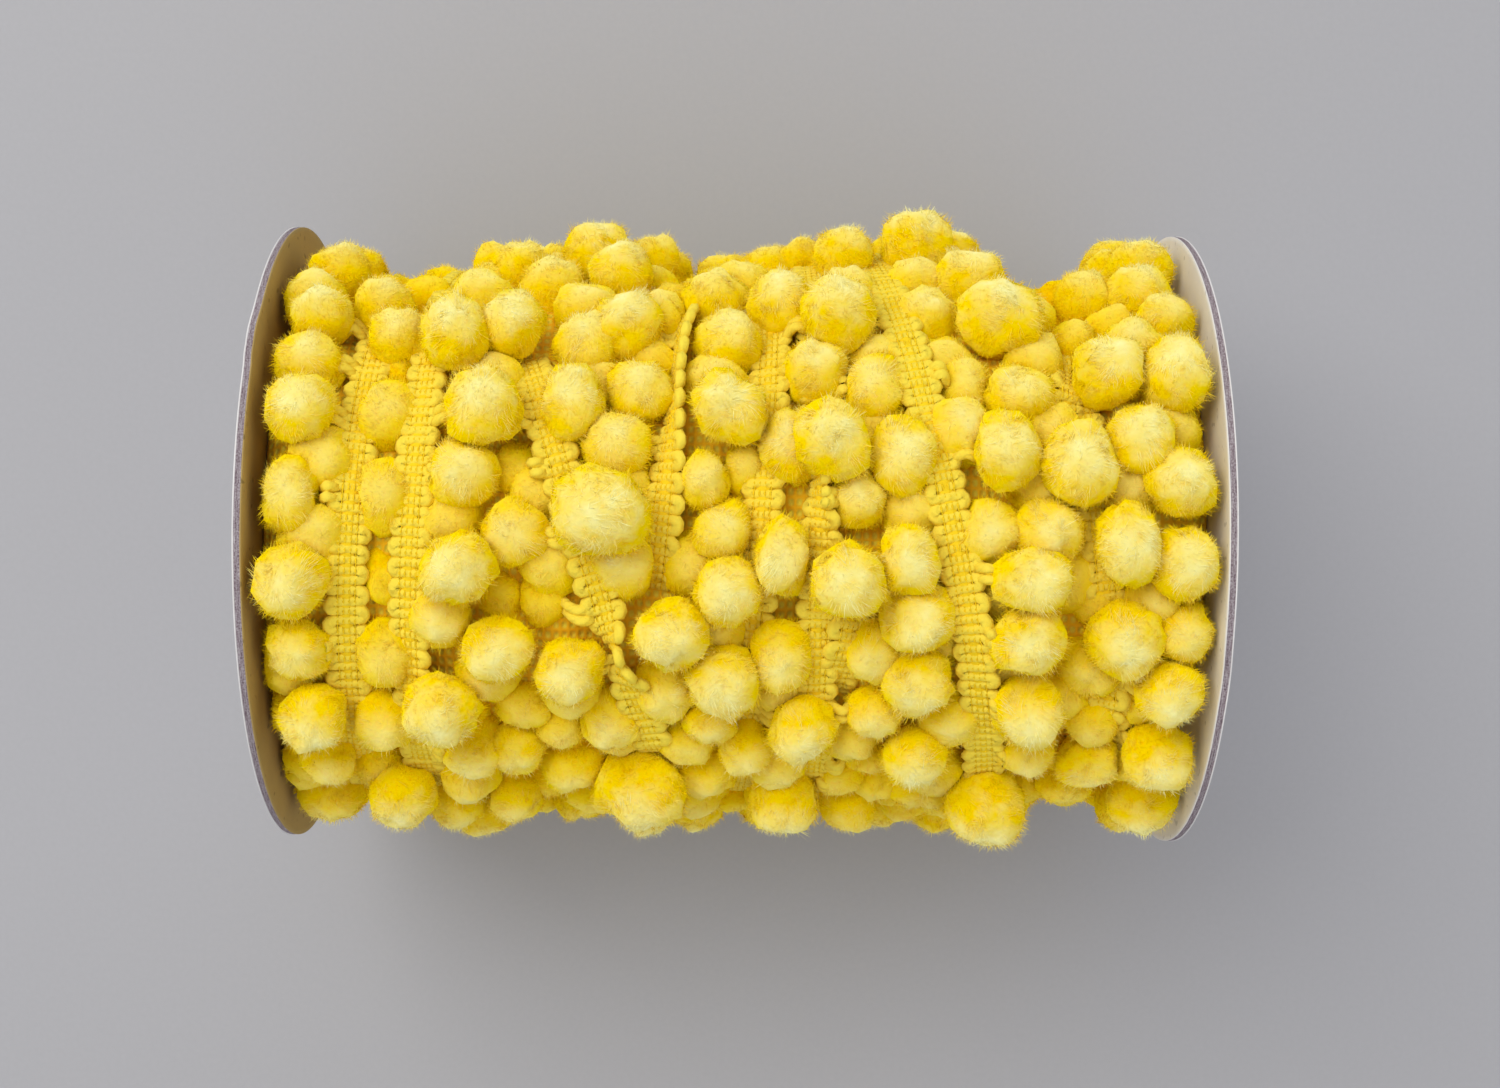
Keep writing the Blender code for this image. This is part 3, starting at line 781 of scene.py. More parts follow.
# The pile: how much painted highlight the ball, the roots and the tips get, how far down past the middle the
# fibres go, what share of them strays and how far, and how far the others stand proud
BALL_PILE = 0.65
ROOT_PILE = 0.2
TIP_PILE = (1.0, 1.3)
PILE_DOWN_TO = 0.45
STRAY_SHARE = 0.08
STRAY_LENGTH = 0.12
PROUD = 0.02
PROUD_SPREAD = 0.03

Balls = namedtuple(
    "Balls", "centre out size flat row axes stretch waves phases heights tie hollow furrow spin normal off"
)


def laid_pompoms(dice):
    """Every outer pompom as it lies: place, angle, level, row, half widths along and round, and how far it is
    flattened. The upper ones lie as listed, and the rows give way to them and to the deepest dips."""
    x, angle, radius, row = lay_pompoms()
    angle = (angle + np.pi) % FULL_TURN - np.pi
    size = sizes_of_pompoms(x, angle, radius)
    floor_reach = (AXIS_HEIGHT - FLOOR_CLEARANCE) / np.clip(-np.cos(angle), 0.01, None)
    radius = np.minimum(radius, floor_reach - CENTRE_OVER_FLOOR) - dipped(x, angle)
    flat = np.minimum(size, (floor_reach - radius) / CROWN) / size
    size = size * dice.uniform(*VISIBLE_RADIUS, len(size))
    along = size * (1 + dice.normal(0, EGG_SPREAD, len(size)))
    round_it = size * (1 + dice.normal(0, EGG_SPREAD, len(size)))
    upper_x, upper_angle, upper_level, upper_along, upper_round = upper_pompoms()
    upper_along, upper_round = upper_along * UPPER_FLUFF, upper_round * UPPER_FLUFF
    away = place(x, angle, radius)[:, None] - place(upper_x, upper_angle, upper_level)
    kept = (np.linalg.norm(away, axis=-1).min(axis=1) > UPPER_CLEARANCE) & (np.abs(angle) > UPPER_END)
    kept &= dipped(x, angle) < DIP_WITHOUT
    off_rows = np.stack([np.abs(row_x(turn, upper_angle) - upper_x) for turn in TURNS])
    laid = (x, angle, radius, row, along, round_it, flat)
    upper = (upper_x, upper_angle, upper_level, off_rows.argmin(axis=0), upper_along, upper_round,
             np.ones(len(upper_x)))
    return [np.append(part[kept], upper_part) for part, upper_part in zip(laid, upper)]


def dipped(x, angle):
    """How much lower the winding lies at each place: a bell curve along and round the spool for each dip."""
    low = np.zeros_like(x)
    for dip in DIPS:
        along = (x / MM - dip.mid) / dip.half_along
        turned = (np.degrees(angle) - dip.angle + 180) % 360 - 180
        low += dip.depth * MM * np.exp(-(along**2) - (turned / dip.half_round) ** 2)
    return low


def apart_on_spool(x, angle, others_x, others_angle):
    """How far each place on the spool is from each of the others, over the surface at the pompoms' level."""
    turned = (angle[:, None] - others_angle + np.pi) % FULL_TURN - np.pi
    return np.hypot(x[:, None] - others_x, turned * CENTRE_RADIUS)


def inner_places(x, angle):
    """Places for pompoms below, the roomiest first: spots of a grid between the outer ones and clear of the
    braids. Each lies as high as it can without coming too close to its nearest outer one."""
    dice = np.random.default_rng(INNER_SEED)
    columns = np.arange(-INNER_REACH_X, INNER_REACH_X, INNER_STEP)
    rows = np.arange(0, FULL_TURN, INNER_STEP / CENTRE_RADIUS)
    spot_x, spot_angle = (part.ravel() for part in np.meshgrid(columns, rows))
    spot_x = spot_x + dice.normal(0, INNER_JITTER, spot_x.shape)
    room = apart_on_spool(spot_x, spot_angle, x, angle).min(axis=1)
    clear = room > INNER_ROOM
    for braid in BRAIDS + SHORT_BRAIDS:
        beside = np.abs(spot_x - row_x(braid, spot_angle))
        clear &= (beside > INNER_BESIDE_BRAID) | (shown_share(braid, spot_angle) < 0.5)
    spot_x, spot_angle, room = spot_x[clear], spot_angle[clear], room[clear]
    order = np.argsort(-room)
    apart = apart_on_spool(spot_x[order], spot_angle[order], spot_x[order], spot_angle[order])
    chosen = []
    for spot in range(len(order)):
        if not chosen or apart[spot, chosen].min() > INNER_APART:
            chosen.append(spot)
    kept = order[chosen]
    level = CENTRE_RADIUS - np.sqrt(np.clip(INNER_CLOSE**2 - room[kept] ** 2, 0, None))
    level = level.clip(*INNER_LEVELS) - INNER_DIP_SHARE * dipped(spot_x[kept], spot_angle[kept])
    level = level.clip(INNER_LOWEST)
    return spot_x[kept], spot_angle[kept], level


def planes_between(centre, size):
    """For each ball the directions of its nearest neighbours and how far off each meeting plane lies: the one
    that the two spheres share, but no nearer than the part of its radius that a ball keeps."""
    away = centre[None] - centre[:, None]
    apart = np.linalg.norm(away, axis=-1)
    np.fill_diagonal(apart, FAR_OFF)
    off = (apart**2 + size[:, None] ** 2 - size**2) / (2 * apart)
    off = np.maximum(off, KEPT_ROUND * size[:, None])
    near = np.argsort(apart, axis=1)[:, :NEIGHBOURS]
    apart, off = (np.take_along_axis(part, near, axis=1) for part in (apart, off))
    return np.take_along_axis(away, near[..., None], axis=1) / apart[..., None], off


def planes_around(centre, size):
    """The same for the two discs, the floor and the edge of each braid beside it."""
    x, y, z = centre.T
    angle = np.arctan2(y, z - AXIS_HEIGHT)
    wall = CARD_INNER_X - 0.35 * MM
    normal = [np.broadcast_to(way, centre.shape) for way in ((1.0, 0, 0), (-1.0, 0, 0), (0, 0, -1.0))]
    off = [wall - x, wall + x, z - 0.3 * MM]
    for braid in BRAIDS + SHORT_BRAIDS:
        beside = row_x(braid, angle) - x
        edge = np.abs(beside) - edge_half_width(braid, angle)
        near = (shown_share(braid, angle) > 0.3) & (np.abs(beside) > UNDER_BRAID)
        normal.append(np.sign(beside)[:, None] * (1.0, 0, 0))
        off.append(np.where(near, np.maximum(edge + OVER_BRAID, KEPT_ROUND * size), FAR_OFF))
    return np.stack(normal, axis=1), np.stack(off, axis=1)


def all_balls():
    """Every pompom, the outer ones first, with its own random traits. Row -1 holds the ones below."""
    dice = np.random.default_rng(TRAITS_SEED)
    x, angle, radius, row, along, round_it, flat = laid_pompoms(dice)
    inner_x, inner_angle, inner_level = inner_places(x, angle)
    fill = np.ones(len(inner_x))
    if len(fill) < 20:
        raise RuntimeError("the pompoms lie so close that none shows below them")
    x, angle = np.append(x, inner_x), np.append(angle, inner_angle)
    radius = np.append(radius, inner_level)
    row, flat = np.append(row, -fill.astype(int)), np.append(flat, fill)
    along, round_it = np.append(along, INNER_RADIUS * fill), np.append(round_it, INNER_RADIUS * fill)
    size, count = (along + round_it) / 2, len(x)
    centre, out = place(x, angle, radius), outward(angle)
    along_spool = np.broadcast_to([1.0, 0, 0], out.shape)
    axes = np.stack([along_spool, np.cross(out, along_spool), out], axis=1)
    stretch = np.stack([along / size - 1, round_it / size - 1, dice.normal(0, EGG_SPREAD, count)], axis=1)
    waves, heights = [], []
    for across, share, number in WAVES:
        waves.append(unit(dice.normal(size=(count, number, 3))) * across)
        heights.append(np.full(number, share))
    waves, heights = np.concatenate(waves, axis=1), np.concatenate(heights)
    phases = dice.uniform(0, FULL_TURN, (count, len(heights)))
    tie = unit(dice.normal(size=(count, 3)) + out * dice.normal(0, 0.8, (count, 1)))
    hollow = dice.uniform(*HOLLOW_DEPTH, count) * (dice.uniform(size=count) < HOLLOW_SHARE)
    furrow = dice.uniform(*FURROW_DEPTH, count) * (dice.uniform(size=count) < FURROW_SHARE)
    spin = dice.uniform(0, FULL_TURN, count)
    between, around = planes_between(centre, size), planes_around(centre, size)
    normal = np.concatenate([between[0], around[0]], axis=1)
    off = np.concatenate([between[1], around[1]], axis=1)
    heights = np.broadcast_to(heights, phases.shape)
    return Balls(
        centre, out, size, flat, row, axes, stretch, waves, phases, heights, tie, hollow, furrow, spin, normal,
        off,
    )


def some_balls(balls, row):
    """Only the balls of this row."""
    return Balls(*(trait[balls.row == row] for trait in balls))


def ball_reach(balls, direction):
    """How far a ball reaches each way, as a share of its radius: an egg that is quadratic in the direction,
    sine waves over it for lumps and tufts, a hollow at each end of the tie that gathers it, and a furrow
    between them."""
    egg = np.einsum("pnc,pkc->pnk", direction, balls.axes) ** 2
    egg = (egg * balls.stretch[:, None]).sum(axis=-1)
    swell = np.sin(np.einsum("pnc,pkc->pnk", direction, balls.waves) + balls.phases[:, None])
    swell = (swell * balls.heights[:, None]).sum(axis=-1)
    along_tie = np.abs(np.einsum("pnc,pc->pn", direction, balls.tie))
    hollow = balls.hollow[:, None] * np.exp(-(1 - along_tie) / HOLLOW_WIDTH)
    furrow = balls.furrow[:, None] * np.exp(-((along_tie / FURROW_WIDTH) ** 2))
    return 1 + egg + swell - hollow - furrow


def on_balls(balls, direction, share, standoff):
    """Points this share of the way out to the ball's surface. The ball is flattened where its row is pressed
    down, and each point is eased back behind every plane that the ball meets: by its whole overlap from the
    softness on, and by a square that grows from nothing up to there."""
    offset = direction * (share * ball_reach(balls, direction) * balls.size[:, None])[..., None]
    rise = np.einsum("pnc,pc->pn", offset, balls.out)
    pressed = (balls.flat[:, None] - 1) * np.where(rise > 0, rise, 0)
    offset = offset + pressed[..., None] * balls.out[:, None]
    over = np.einsum("pnc,pkc->pnk", offset, balls.normal) - balls.off[:, None] - standoff
    eased = (over + PRESS_SOFTNESS).clip(0, 2 * PRESS_SOFTNESS) ** 2 / (4 * PRESS_SOFTNESS)
    eased += (over - PRESS_SOFTNESS).clip(0)
    return balls.centre[:, None] + offset - np.einsum("pnk,pkc->pnc", eased, balls.normal)


def ball_frames(balls):
    """Along the spool, round it and outwards at each ball, turned about the last by the ball's own spin."""
    along = np.broadcast_to([1.0, 0, 0], balls.out.shape)
    around = np.cross(balls.out, along)
    turned = np.cos(balls.spin)[:, None] * along + np.sin(balls.spin)[:, None] * around
    return np.stack([turned, np.cross(balls.out, turned), balls.out], axis=1)


def bake_spots(balls, direction):
    """A place in the unit square for each direction: every ball has its own cell, and in it a direction lies
    at the sine of half its angle from straight out."""
    local = np.einsum("pnc,pkc->pnk", direction, ball_frames(balls))
    far = np.sqrt(np.clip((1 - local[..., 2]) / 2, 0, 1))
    flat = unit(local[..., :2]) * (far * 0.47)[..., None]
    cells = int(np.ceil(np.sqrt(len(balls.size))))
    number = np.arange(len(balls.size))
    corner = np.stack([number % cells, number // cells], axis=-1) + 0.5
    return (corner[:, None] + flat) / cells


def cores(balls):
    """The balls under their pile: a grid of longitudes and latitudes, closed at both poles."""
    longitude = np.arange(BALL_COLUMNS) * FULL_TURN / BALL_COLUMNS
    latitude = np.pi * (np.arange(BALL_ROWS) + 1) / (BALL_ROWS + 1)
    latitude, longitude = np.meshgrid(latitude, longitude, indexing="ij")
    level = np.sin(latitude)
    local = np.stack([level * np.cos(longitude), level * np.sin(longitude), np.cos(latitude)], axis=-1)
    local = local.reshape(-1, 3)
    local = np.concatenate([local, [[0, 0, 1.0], [0, 0, -1.0]]])
    direction = np.einsum("nk,pkc->pnc", local, ball_frames(balls))
    points = on_balls(balls, direction, BALL_SHARE, -0.25 * MM)
    grid = numbers(BALL_ROWS, BALL_COLUMNS)
    sides = skin(lapped(grid, 1))[:, ::-1]
    poles = np.concatenate(caps(grid))[:, ::-1]
    offsets = (np.arange(len(balls.size)) * len(local))[:, None, None]
    quads = (sides[None] + offsets).reshape(-1, 4)
    triangles = (poles[None] + offsets).reshape(-1, 3)
    return points.reshape(-1, 3), quads, triangles, bake_spots(balls, direction).reshape(-1, 2)


def cut_pile(balls, count, settings, dice):
    """Cut fibre ends as long thin triangles. Their roots follow a golden spiral from the crown down past the
    middle. Each tip stands just proud of the surface, leaning with its tuft, its flat side outwards."""
    number = np.arange(count) + 0.5
    rise = 1 - number / count * (1 + PILE_DOWN_TO)
    turn = number * GOLDEN_ANGLE
    level = np.sqrt(1 - rise**2)
    local = np.stack([level * np.cos(turn), level * np.sin(turn), rise], axis=-1)
    many = len(balls.size)
    local = unit(local + dice.normal(0, 1.0 / np.sqrt(count), (many, count, 3)))
    direction = np.einsum("pnk,pkc->pnc", local, ball_frames(balls))
    sway = np.einsum("pnc,pkc->pnk", direction, balls.waves[:, 4:10])
    sway = np.sin(sway + balls.phases[:, None, 4:10])
    lean = sway[..., :3] + sway[..., 3:] + dice.normal(0, 0.8, direction.shape)
    lean -= (lean * direction).sum(axis=-1, keepdims=True) * direction
    lean *= settings.lean
    tip_way = unit(direction + lean)
    root_share = 1 - settings.pile_depth / balls.size[:, None]
    proud = dice.normal(1 + PROUD, PROUD_SPREAD, (many, count))
    stray = dice.uniform(size=(many, count)) < STRAY_SHARE
    proud += stray * dice.uniform(0.3, 1.0, (many, count)) * STRAY_LENGTH
    width = settings.fibre_width / 2 * dice.uniform(0.7, 1.3, (many, count)) * np.where(stray, 0.5, 1)
    across = unit(np.cross(lean, direction) + 0.35 * dice.normal(0, settings.lean, direction.shape))
    root = on_balls(balls, direction, root_share, -0.2 * MM)
    tip = on_balls(balls, tip_way, proud, 0.2 * MM)
    points = np.stack([root - across * width[..., None], root + across * width[..., None], tip], axis=2)
    step = across * (width / balls.size[:, None])[..., None]
    ways = np.stack([direction - step, direction + step, tip_way], axis=2).reshape(many, -1, 3)
    spots = bake_spots(balls, unit(ways)).reshape(-1, 2)
    # Painted highlight: fibres that face out get most of the pale tip colour, those at the sides almost none.
    crown = (0.06 + 0.94 * local[..., 2].clip(0) ** 3) * dice.uniform(*TIP_PILE, (many, count))
    pile = np.stack([ROOT_PILE * crown, ROOT_PILE * crown, crown], axis=2)
    return points.reshape(-1, 3), spots, pile.ravel()


def pompom_piece(name, balls, count, settings, material, seed):
    """One piece of pompoms: the balls and their pile."""
    ball_points, quads, triangles, ball_spots = cores(balls)
    pile_points, pile_spots, pile = cut_pile(balls, count, settings, np.random.default_rng(seed))
    fibres = numbers(len(pile_points) // 3, 3) + len(ball_points)
    spots = np.concatenate([ball_spots[quads.ravel()], ball_spots[triangles.ravel()], pile_spots])
    smooth = np.arange(len(quads) + len(triangles) + len(fibres)) < len(quads) + len(triangles)
    # Painted highlight: the ball under the pile is paler where it faces out.
    crown = unit(ball_points.reshape(len(balls.size), -1, 3) - balls.centre[:, None])
    crown = np.einsum("pnc,pc->pn", crown, balls.out).clip(0) ** 3
    pile = np.concatenate([BALL_PILE * crown.ravel(), pile])
    points = np.concatenate([ball_points, pile_points])
    piece = make_piece(
        name, points, [quads, np.concatenate([triangles, fibres])], [material], smooth=smooth,
        maps={"OFBake": spots}, pile=pile,
    )
    return piece


# The wound body as it shows between the pompoms
INNER_TURNS_COLUMNS = 90
INNER_TURNS_ROWS = 90
INNER_TURNS_RAISED = 2.8 * MM
INNER_BRAID_PITCH = 9.0 * MM
INNER_BRAID_RELIEF = 0.9 * MM


def inner_turns(material):
    """The wound body: a radius over place and angle, lowered in a groove between one inner turn and the next
    and drawn in to a point at each end."""
    x = np.linspace(-TRIM_END_X, TRIM_END_X, INNER_TURNS_COLUMNS)
    angle = np.arange(INNER_TURNS_ROWS) * FULL_TURN / INNER_TURNS_ROWS
    x, angle = np.meshgrid(x, angle, indexing="ij")
    groove = np.abs(np.cos(np.pi * (x + 2 * MM * np.sin(2 * angle)) / INNER_BRAID_PITCH)) ** 6
    radius = body_radius(x, angle) + INNER_TURNS_RAISED - INNER_BRAID_RELIEF * groove
    radius = radius - dipped(x, angle) * INNER_DIP_SHARE
    grid = numbers(*x.shape)
    end_points = [[-TRIM_END_X, 0, AXIS_HEIGHT], [TRIM_END_X, 0, AXIS_HEIGHT]]
    points = np.concatenate([place(x, angle, radius).reshape(-1, 3), end_points])
    quads = skin(lapped(grid, 1))
    left, right = caps(grid)
    spots = np.stack([x, angle * BODY_RADIUS], axis=-1) / MM
    last = spots[:, :1] + (0, FULL_TURN * BODY_RADIUS / MM)
    lapped_spots = np.concatenate([spots, last], axis=1).reshape(-1, 2)
    on_quads = lapped_spots[skin(numbers(x.shape[0], x.shape[1] + 1)).ravel()]
    ends = np.zeros((3 * (len(left) + len(right)), 2))
    piece = make_piece(
        "inner_turns", points, [quads, np.concatenate([left, right])], [material],
        maps={"turns": np.concatenate([on_quads, ends])},
    )
    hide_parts("pompom_trim")
    return piece


# The gimp yarn's path: one run across the braid and its turn round to the next, as (across in halves of the
# run, along in row pitches, share of the full thickness). It is pinched where the stitching crosses it. The
# flat core's width and height are shares of the run's half width and of the yarn's thickness.
RUN = np.array([
    (-1.0, 0, 1.02), (-0.75, 0, 0.87), (-0.5, 0, 1.0), (-0.25, 0, 0.87), (0.0, 0, 1.0), (0.25, 0, 0.87),
    (0.5, 0, 1.0), (0.75, 0, 0.87), (1.0, 0, 1.02),
])
LOOP_SHARE = 1.2
TURN_STEPS = np.radians([-55, -18, 18, 55])
STITCHED_AT = (-0.75, -0.25, 0.25, 0.75)
RUN_HALF_WIDTH = 0.58
YARN_SIDES = 6
THREAD_SIDES = 3
FLAT_CORE_WIDTH = 1.05
FLAT_CORE_HEIGHT = 0.38
BRAID_LIFT = 0.5 * MM
TWIST_LIFT = 0.55
PATH_STEPS = 721
BRAID_SEED = 19


def braid_path(braid):
    """The braid's middle line as places along it, angle by angle, and its length so far at each."""
    whole = braid.shows_to - braid.shows_from >= 360
    angle = np.radians(np.linspace(braid.shows_from, braid.shows_to, PATH_STEPS))
    x = row_x(braid, angle)
    shown = shown_share(braid, angle)
    turned = braid_twist(braid, angle)
    radius = body_radius(x, angle) + braid.rise * MM * shown + BRAID_LIFT - dipped(x, angle)
    radius += np.abs(np.sin(turned)) * BRAID_HALF_WIDTH * TWIST_LIFT
    centre = place(x, angle, radius)
    steps = np.linalg.norm(np.diff(centre, axis=0), axis=1)
    so_far = np.concatenate([[0], np.cumsum(steps)])
    forward = unit(np.gradient(centre, axis=0))
    if whole:
        forward[[0, -1]] = unit(forward[0] + forward[-1])
    side = unit(np.cross(forward, outward(angle)))
    up = np.cross(side, forward)
    leaning = turned[:, None]
    sideways = np.cos(leaning) * side + np.sin(leaning) * up
    upwards = np.cos(leaning) * up - np.sin(leaning) * side
    return so_far, centre, sideways, upwards, whole


def on_braid(path, along, across, rise):
    """Points at these lengths along the braid, distances across it and heights above its middle plane."""
    so_far, centre, sideways, upwards, whole = path
    length = so_far[-1]
    along = along % length if whole else along.clip(0, length)
    read = [np.stack([np.interp(along, so_far, line[:, axis]) for axis in range(3)], axis=-1)
            for line in (centre, sideways, upwards)]
    up = unit(read[2])
    return read[0] + across[..., None] * unit(read[1]) + rise[..., None] * up, up


def tube(path_points, up, half_width, half_height, sides, closed):
    """An oval profile carried along paths. The last two axes of path_points are points along a path and their
    coordinates. Returns the points, the faces, each corner's place along and round the tube in mm, and the
    flat ends, of which a closed tube has none."""
    lead = path_points.shape[:-2]
    if closed:
        forward = np.roll(path_points, -1, axis=-2) - np.roll(path_points, 1, axis=-2)
    else:
        forward = np.gradient(path_points, axis=-2)
    forward = unit(forward)
    across = unit(np.cross(up, forward))
    over = np.cross(forward, across)
    around = np.arange(sides) * FULL_TURN / sides
    half_width = np.broadcast_to(half_width, path_points.shape[:-1])[..., None, None]
    half_height = np.broadcast_to(half_height, path_points.shape[:-1])[..., None, None]
    ring = np.cos(around)[:, None] * across[..., None, :] * half_width
    ring = ring + np.sin(around)[:, None] * over[..., None, :] * half_height
    points = path_points[..., None, :] + ring
    grid = numbers(*points.shape[:-1])
    wrapped = lapped(grid, grid.ndim - 1)
    wrapped = lapped(wrapped, grid.ndim - 2) if closed else wrapped
    steps = np.linalg.norm(np.diff(lapped(path_points, path_points.ndim - 2), axis=-2), axis=-1)
    so_far = np.cumsum(steps, axis=-1) / MM
    so_far = np.concatenate([np.zeros((*lead, 1)), so_far], axis=-1)[..., : wrapped.shape[-2]]
    girth = np.linspace(0, 1, sides + 1) * FULL_TURN * half_height.mean() / MM
    spots = np.stack(np.broadcast_arrays(so_far[..., None], girth), axis=-1)
    on_faces = spots.reshape(-1, 2)[skin(numbers(*wrapped.shape)).ravel()]
    first, last = grid[..., 0, :].reshape(-1, sides)[:, ::-1], grid[..., -1, :].reshape(-1, sides)
    ends = np.concatenate([first, last])[:0 if closed else None]
    return points.reshape(-1, 3), skin(wrapped), on_faces, ends


def braid_piece(name, braid, settings, yarn, thread, dice):
    """A turn of gimp braid: one yarn laid to and fro across it, its runs side by side, turning round in a
    half circle at each edge, chains of thread along it that rise over each run and dip between runs, and a
    flat core."""
    path = braid_path(braid)
    length, whole = path[0][-1], path[-1]
    runs = 2 * int(length / settings.row_pitch / 2)
    pitch = length / runs
    half_run = (settings.width - settings.yarn_width) / 2 - pitch / 2
    turn = np.stack([1 + np.cos(TURN_STEPS) * pitch / 2 / half_run, 0.5 + np.sin(TURN_STEPS) / 2,
                     np.full(len(TURN_STEPS), LOOP_SHARE)], axis=-1)
    run = np.concatenate([RUN, turn])
    number = np.arange(runs)[:, None]
    facing = np.where(number % 2 == 0, 1, -1)
    uneven = dice.normal(0, 1, (3, runs, 1))
    across = facing * run[:, 0] * half_run * (1 + 0.025 * uneven[0])
    along = (number + 0.5 + run[:, 1] + 0.05 * uneven[1]) * pitch
    rise = 0.06 * MM * uneven[2] + np.zeros_like(along)
    middle, up = on_braid(path, along.ravel(), across.ravel(), rise.ravel())
    share = np.tile(run[:, 2], runs)
    half_width, half_height = share * pitch * RUN_HALF_WIDTH, share * settings.yarn_height / 2
    yarn_tube = tube(middle, up, half_width, half_height, YARN_SIDES, whole)
    step = np.arange(2 * runs)
    column = np.array(STITCHED_AT)[:, None] * half_run
    top = settings.yarn_height / 2 * 0.86 + settings.thread * 0.15
    height = np.where(step % 2 == 0, top, top - settings.thread * 1.4)
    along, column, height = np.broadcast_arrays((step / 2 + 0.5) * pitch, column, height)
    chain, up = on_braid(path, along.ravel(), column.ravel(), height.ravel())
    shape = (len(STITCHED_AT), len(step), 3)
    chains = tube(chain.reshape(shape), up.reshape(shape), settings.thread * 0.6, settings.thread / 2,
                  THREAD_SIDES, whole)
    spine = (np.arange(runs) + 0.5) * pitch
    spine, up = on_braid(path, spine, np.zeros(runs), np.zeros(runs))
    core = tube(spine, up, half_run * FLAT_CORE_WIDTH, settings.yarn_height * FLAT_CORE_HEIGHT, 4, whole)
    points = np.concatenate([yarn_tube[0], chains[0], core[0]])
    before = (0, len(yarn_tube[0]), len(yarn_tube[0]) + len(chains[0]))
    walls = [part[1] + first for part, first in zip((yarn_tube, chains, core), before)]
    ends = [part[3] + first for part, first in zip((yarn_tube, chains, core), before)]
    slots = np.repeat([0, 1, 1, 0, 1, 1], [len(part) for part in walls + ends])
    on_ends = np.zeros((sum(part.size for part in ends), 2))
    piece = make_piece(name, points, [np.concatenate(walls), *ends], [yarn, thread], slots=slots,
                       maps={"yarn": np.concatenate([yarn_tube[2], chains[2], core[2], on_ends])})
    return piece


# Ties: which pompoms beside the braid get one, and their shape
TIE_REACH = (4.0 * MM, 12.0 * MM)
TIE_STEPS = 9
TIE_SIDES = 6
TIE_APART = 0.95 * MM
TIE_ARCH = 2.6 * MM
TIE_INTO_BALL = 0.82


def tie_ends(balls, braid):
    """Where this braid's ties start at its edge and end in the pompoms beside it, and which way is up."""
    x, y, z = balls.centre.T
    angle = np.arctan2(y, z - AXIS_HEIGHT)
    beside = (x - row_x(braid, angle)) * braid.side
    whole = braid.shows_to - braid.shows_from >= 360
    shown = whole | (inside_range(angle, braid.shows_from, braid.shows_to) > BRAID_FADE)
    chosen = (beside > TIE_REACH[0]) & (beside < TIE_REACH[1]) & shown & (balls.row >= 0)
    so_far, centre, sideways, upwards, _ = braid_path(braid)
    angles = np.radians(np.linspace(braid.shows_from, braid.shows_to, PATH_STEPS))
    at = np.array([np.abs((angles - a + np.pi) % FULL_TURN - np.pi).argmin() for a in angle[chosen]], int)
    edge = centre[at] + sideways[at] * braid.side * BRAID_HALF_WIDTH * 0.8
    towards = unit(edge - balls.centre[chosen])
    end = balls.centre[chosen] + towards * balls.size[chosen][:, None] * TIE_INTO_BALL
    return edge, end, upwards[at], sideways[at] * braid.side


def ties_piece(name, balls, braids, settings, yarn):
    """Ties: two yarns side by side on a smooth curve from the braid's edge to the pompom, a cubic whose first
    part runs straight out of the braid and whose middle rises in an arch."""
    edge, end, up, side = (np.concatenate(part) for part in zip(*(tie_ends(balls, b) for b in braids)))
    if not len(edge):
        raise RuntimeError("no pompom lies beside a braid, so there is nothing to tie")
    edge, end, up, side = (np.repeat(part, 2, axis=0) for part in (edge, end, up, side))
    forward = np.cross(up, side) * np.tile([1, -1], len(edge) // 2)[:, None]
    edge = edge + forward * TIE_APART
    end = end + forward * TIE_APART * 0.9
    leave = edge + side * 2.2 * MM + up * TIE_ARCH
    enter = end + up * TIE_ARCH * 0.8 + (edge - end) * 0.3
    t = np.linspace(0, 1, TIE_STEPS)[:, None]
    path = (
        (1 - t) ** 3 * edge[:, None] + 3 * (1 - t) ** 2 * t * leave[:, None]
        + 3 * (1 - t) * t**2 * enter[:, None] + t**3 * end[:, None]
    )
    ups = np.broadcast_to(up[:, None], path.shape)
    points, faces, spots, ends = tube(
        path, ups, settings.tie_yarn / 2, settings.tie_yarn / 2 * 0.9, TIE_SIDES, False
    )
    spots = np.concatenate([spots, np.zeros((ends.size, 2))])
    piece = make_piece(name, points, [faces, ends], [yarn], maps={"yarn": spots})
    return piece


# Card discs: a rim profile from the inner face to the outer one, as (depth into the card, how far it stands
# back from the rim in ply grooves, which material the step up to it has)
PAPER, BOARD, LINER = 0, 1, 2
RIM_PROFILE = np.array([
    (0.00, 1.0, PAPER), (0.05, 0.5, PAPER), (0.14, 0.4, PAPER), (0.17, 1.0, BOARD), (0.27, 0.5, BOARD),
    (0.38, 1.1, BOARD), (0.43, 0.5, BOARD), (0.55, 1.3, BOARD), (0.60, 0.5, BOARD), (0.72, 1.0, BOARD),
    (0.78, 0.6, BOARD), (0.84, 1.3, BOARD), (0.87, 0.1, LINER), (0.96, 0.0, LINER), (1.00, 0.5, LINER),
])
FACE_RADII = np.array([10, 20, 29, 37, 43, 48, 52, 55, 57]) * MM
RIM_COLUMNS = 240

# A dent in a rim: its angle, how deep it is, its half length along the rim and how far it bends the card out
Dent = namedtuple("Dent", "angle depth half_length bend")
LEFT_DENTS = [
    Dent(np.radians(38), 1.1 * MM, 3.2 * MM, 0.7 * MM),
    Dent(np.radians(33), 0.7 * MM, 2.2 * MM, 0.4 * MM),
]
RIGHT_DENTS = [Dent(np.radians(-23), 0.7 * MM, 4.0 * MM, 0.3 * MM)]
BEND_WIDTH = 3.0 * MM


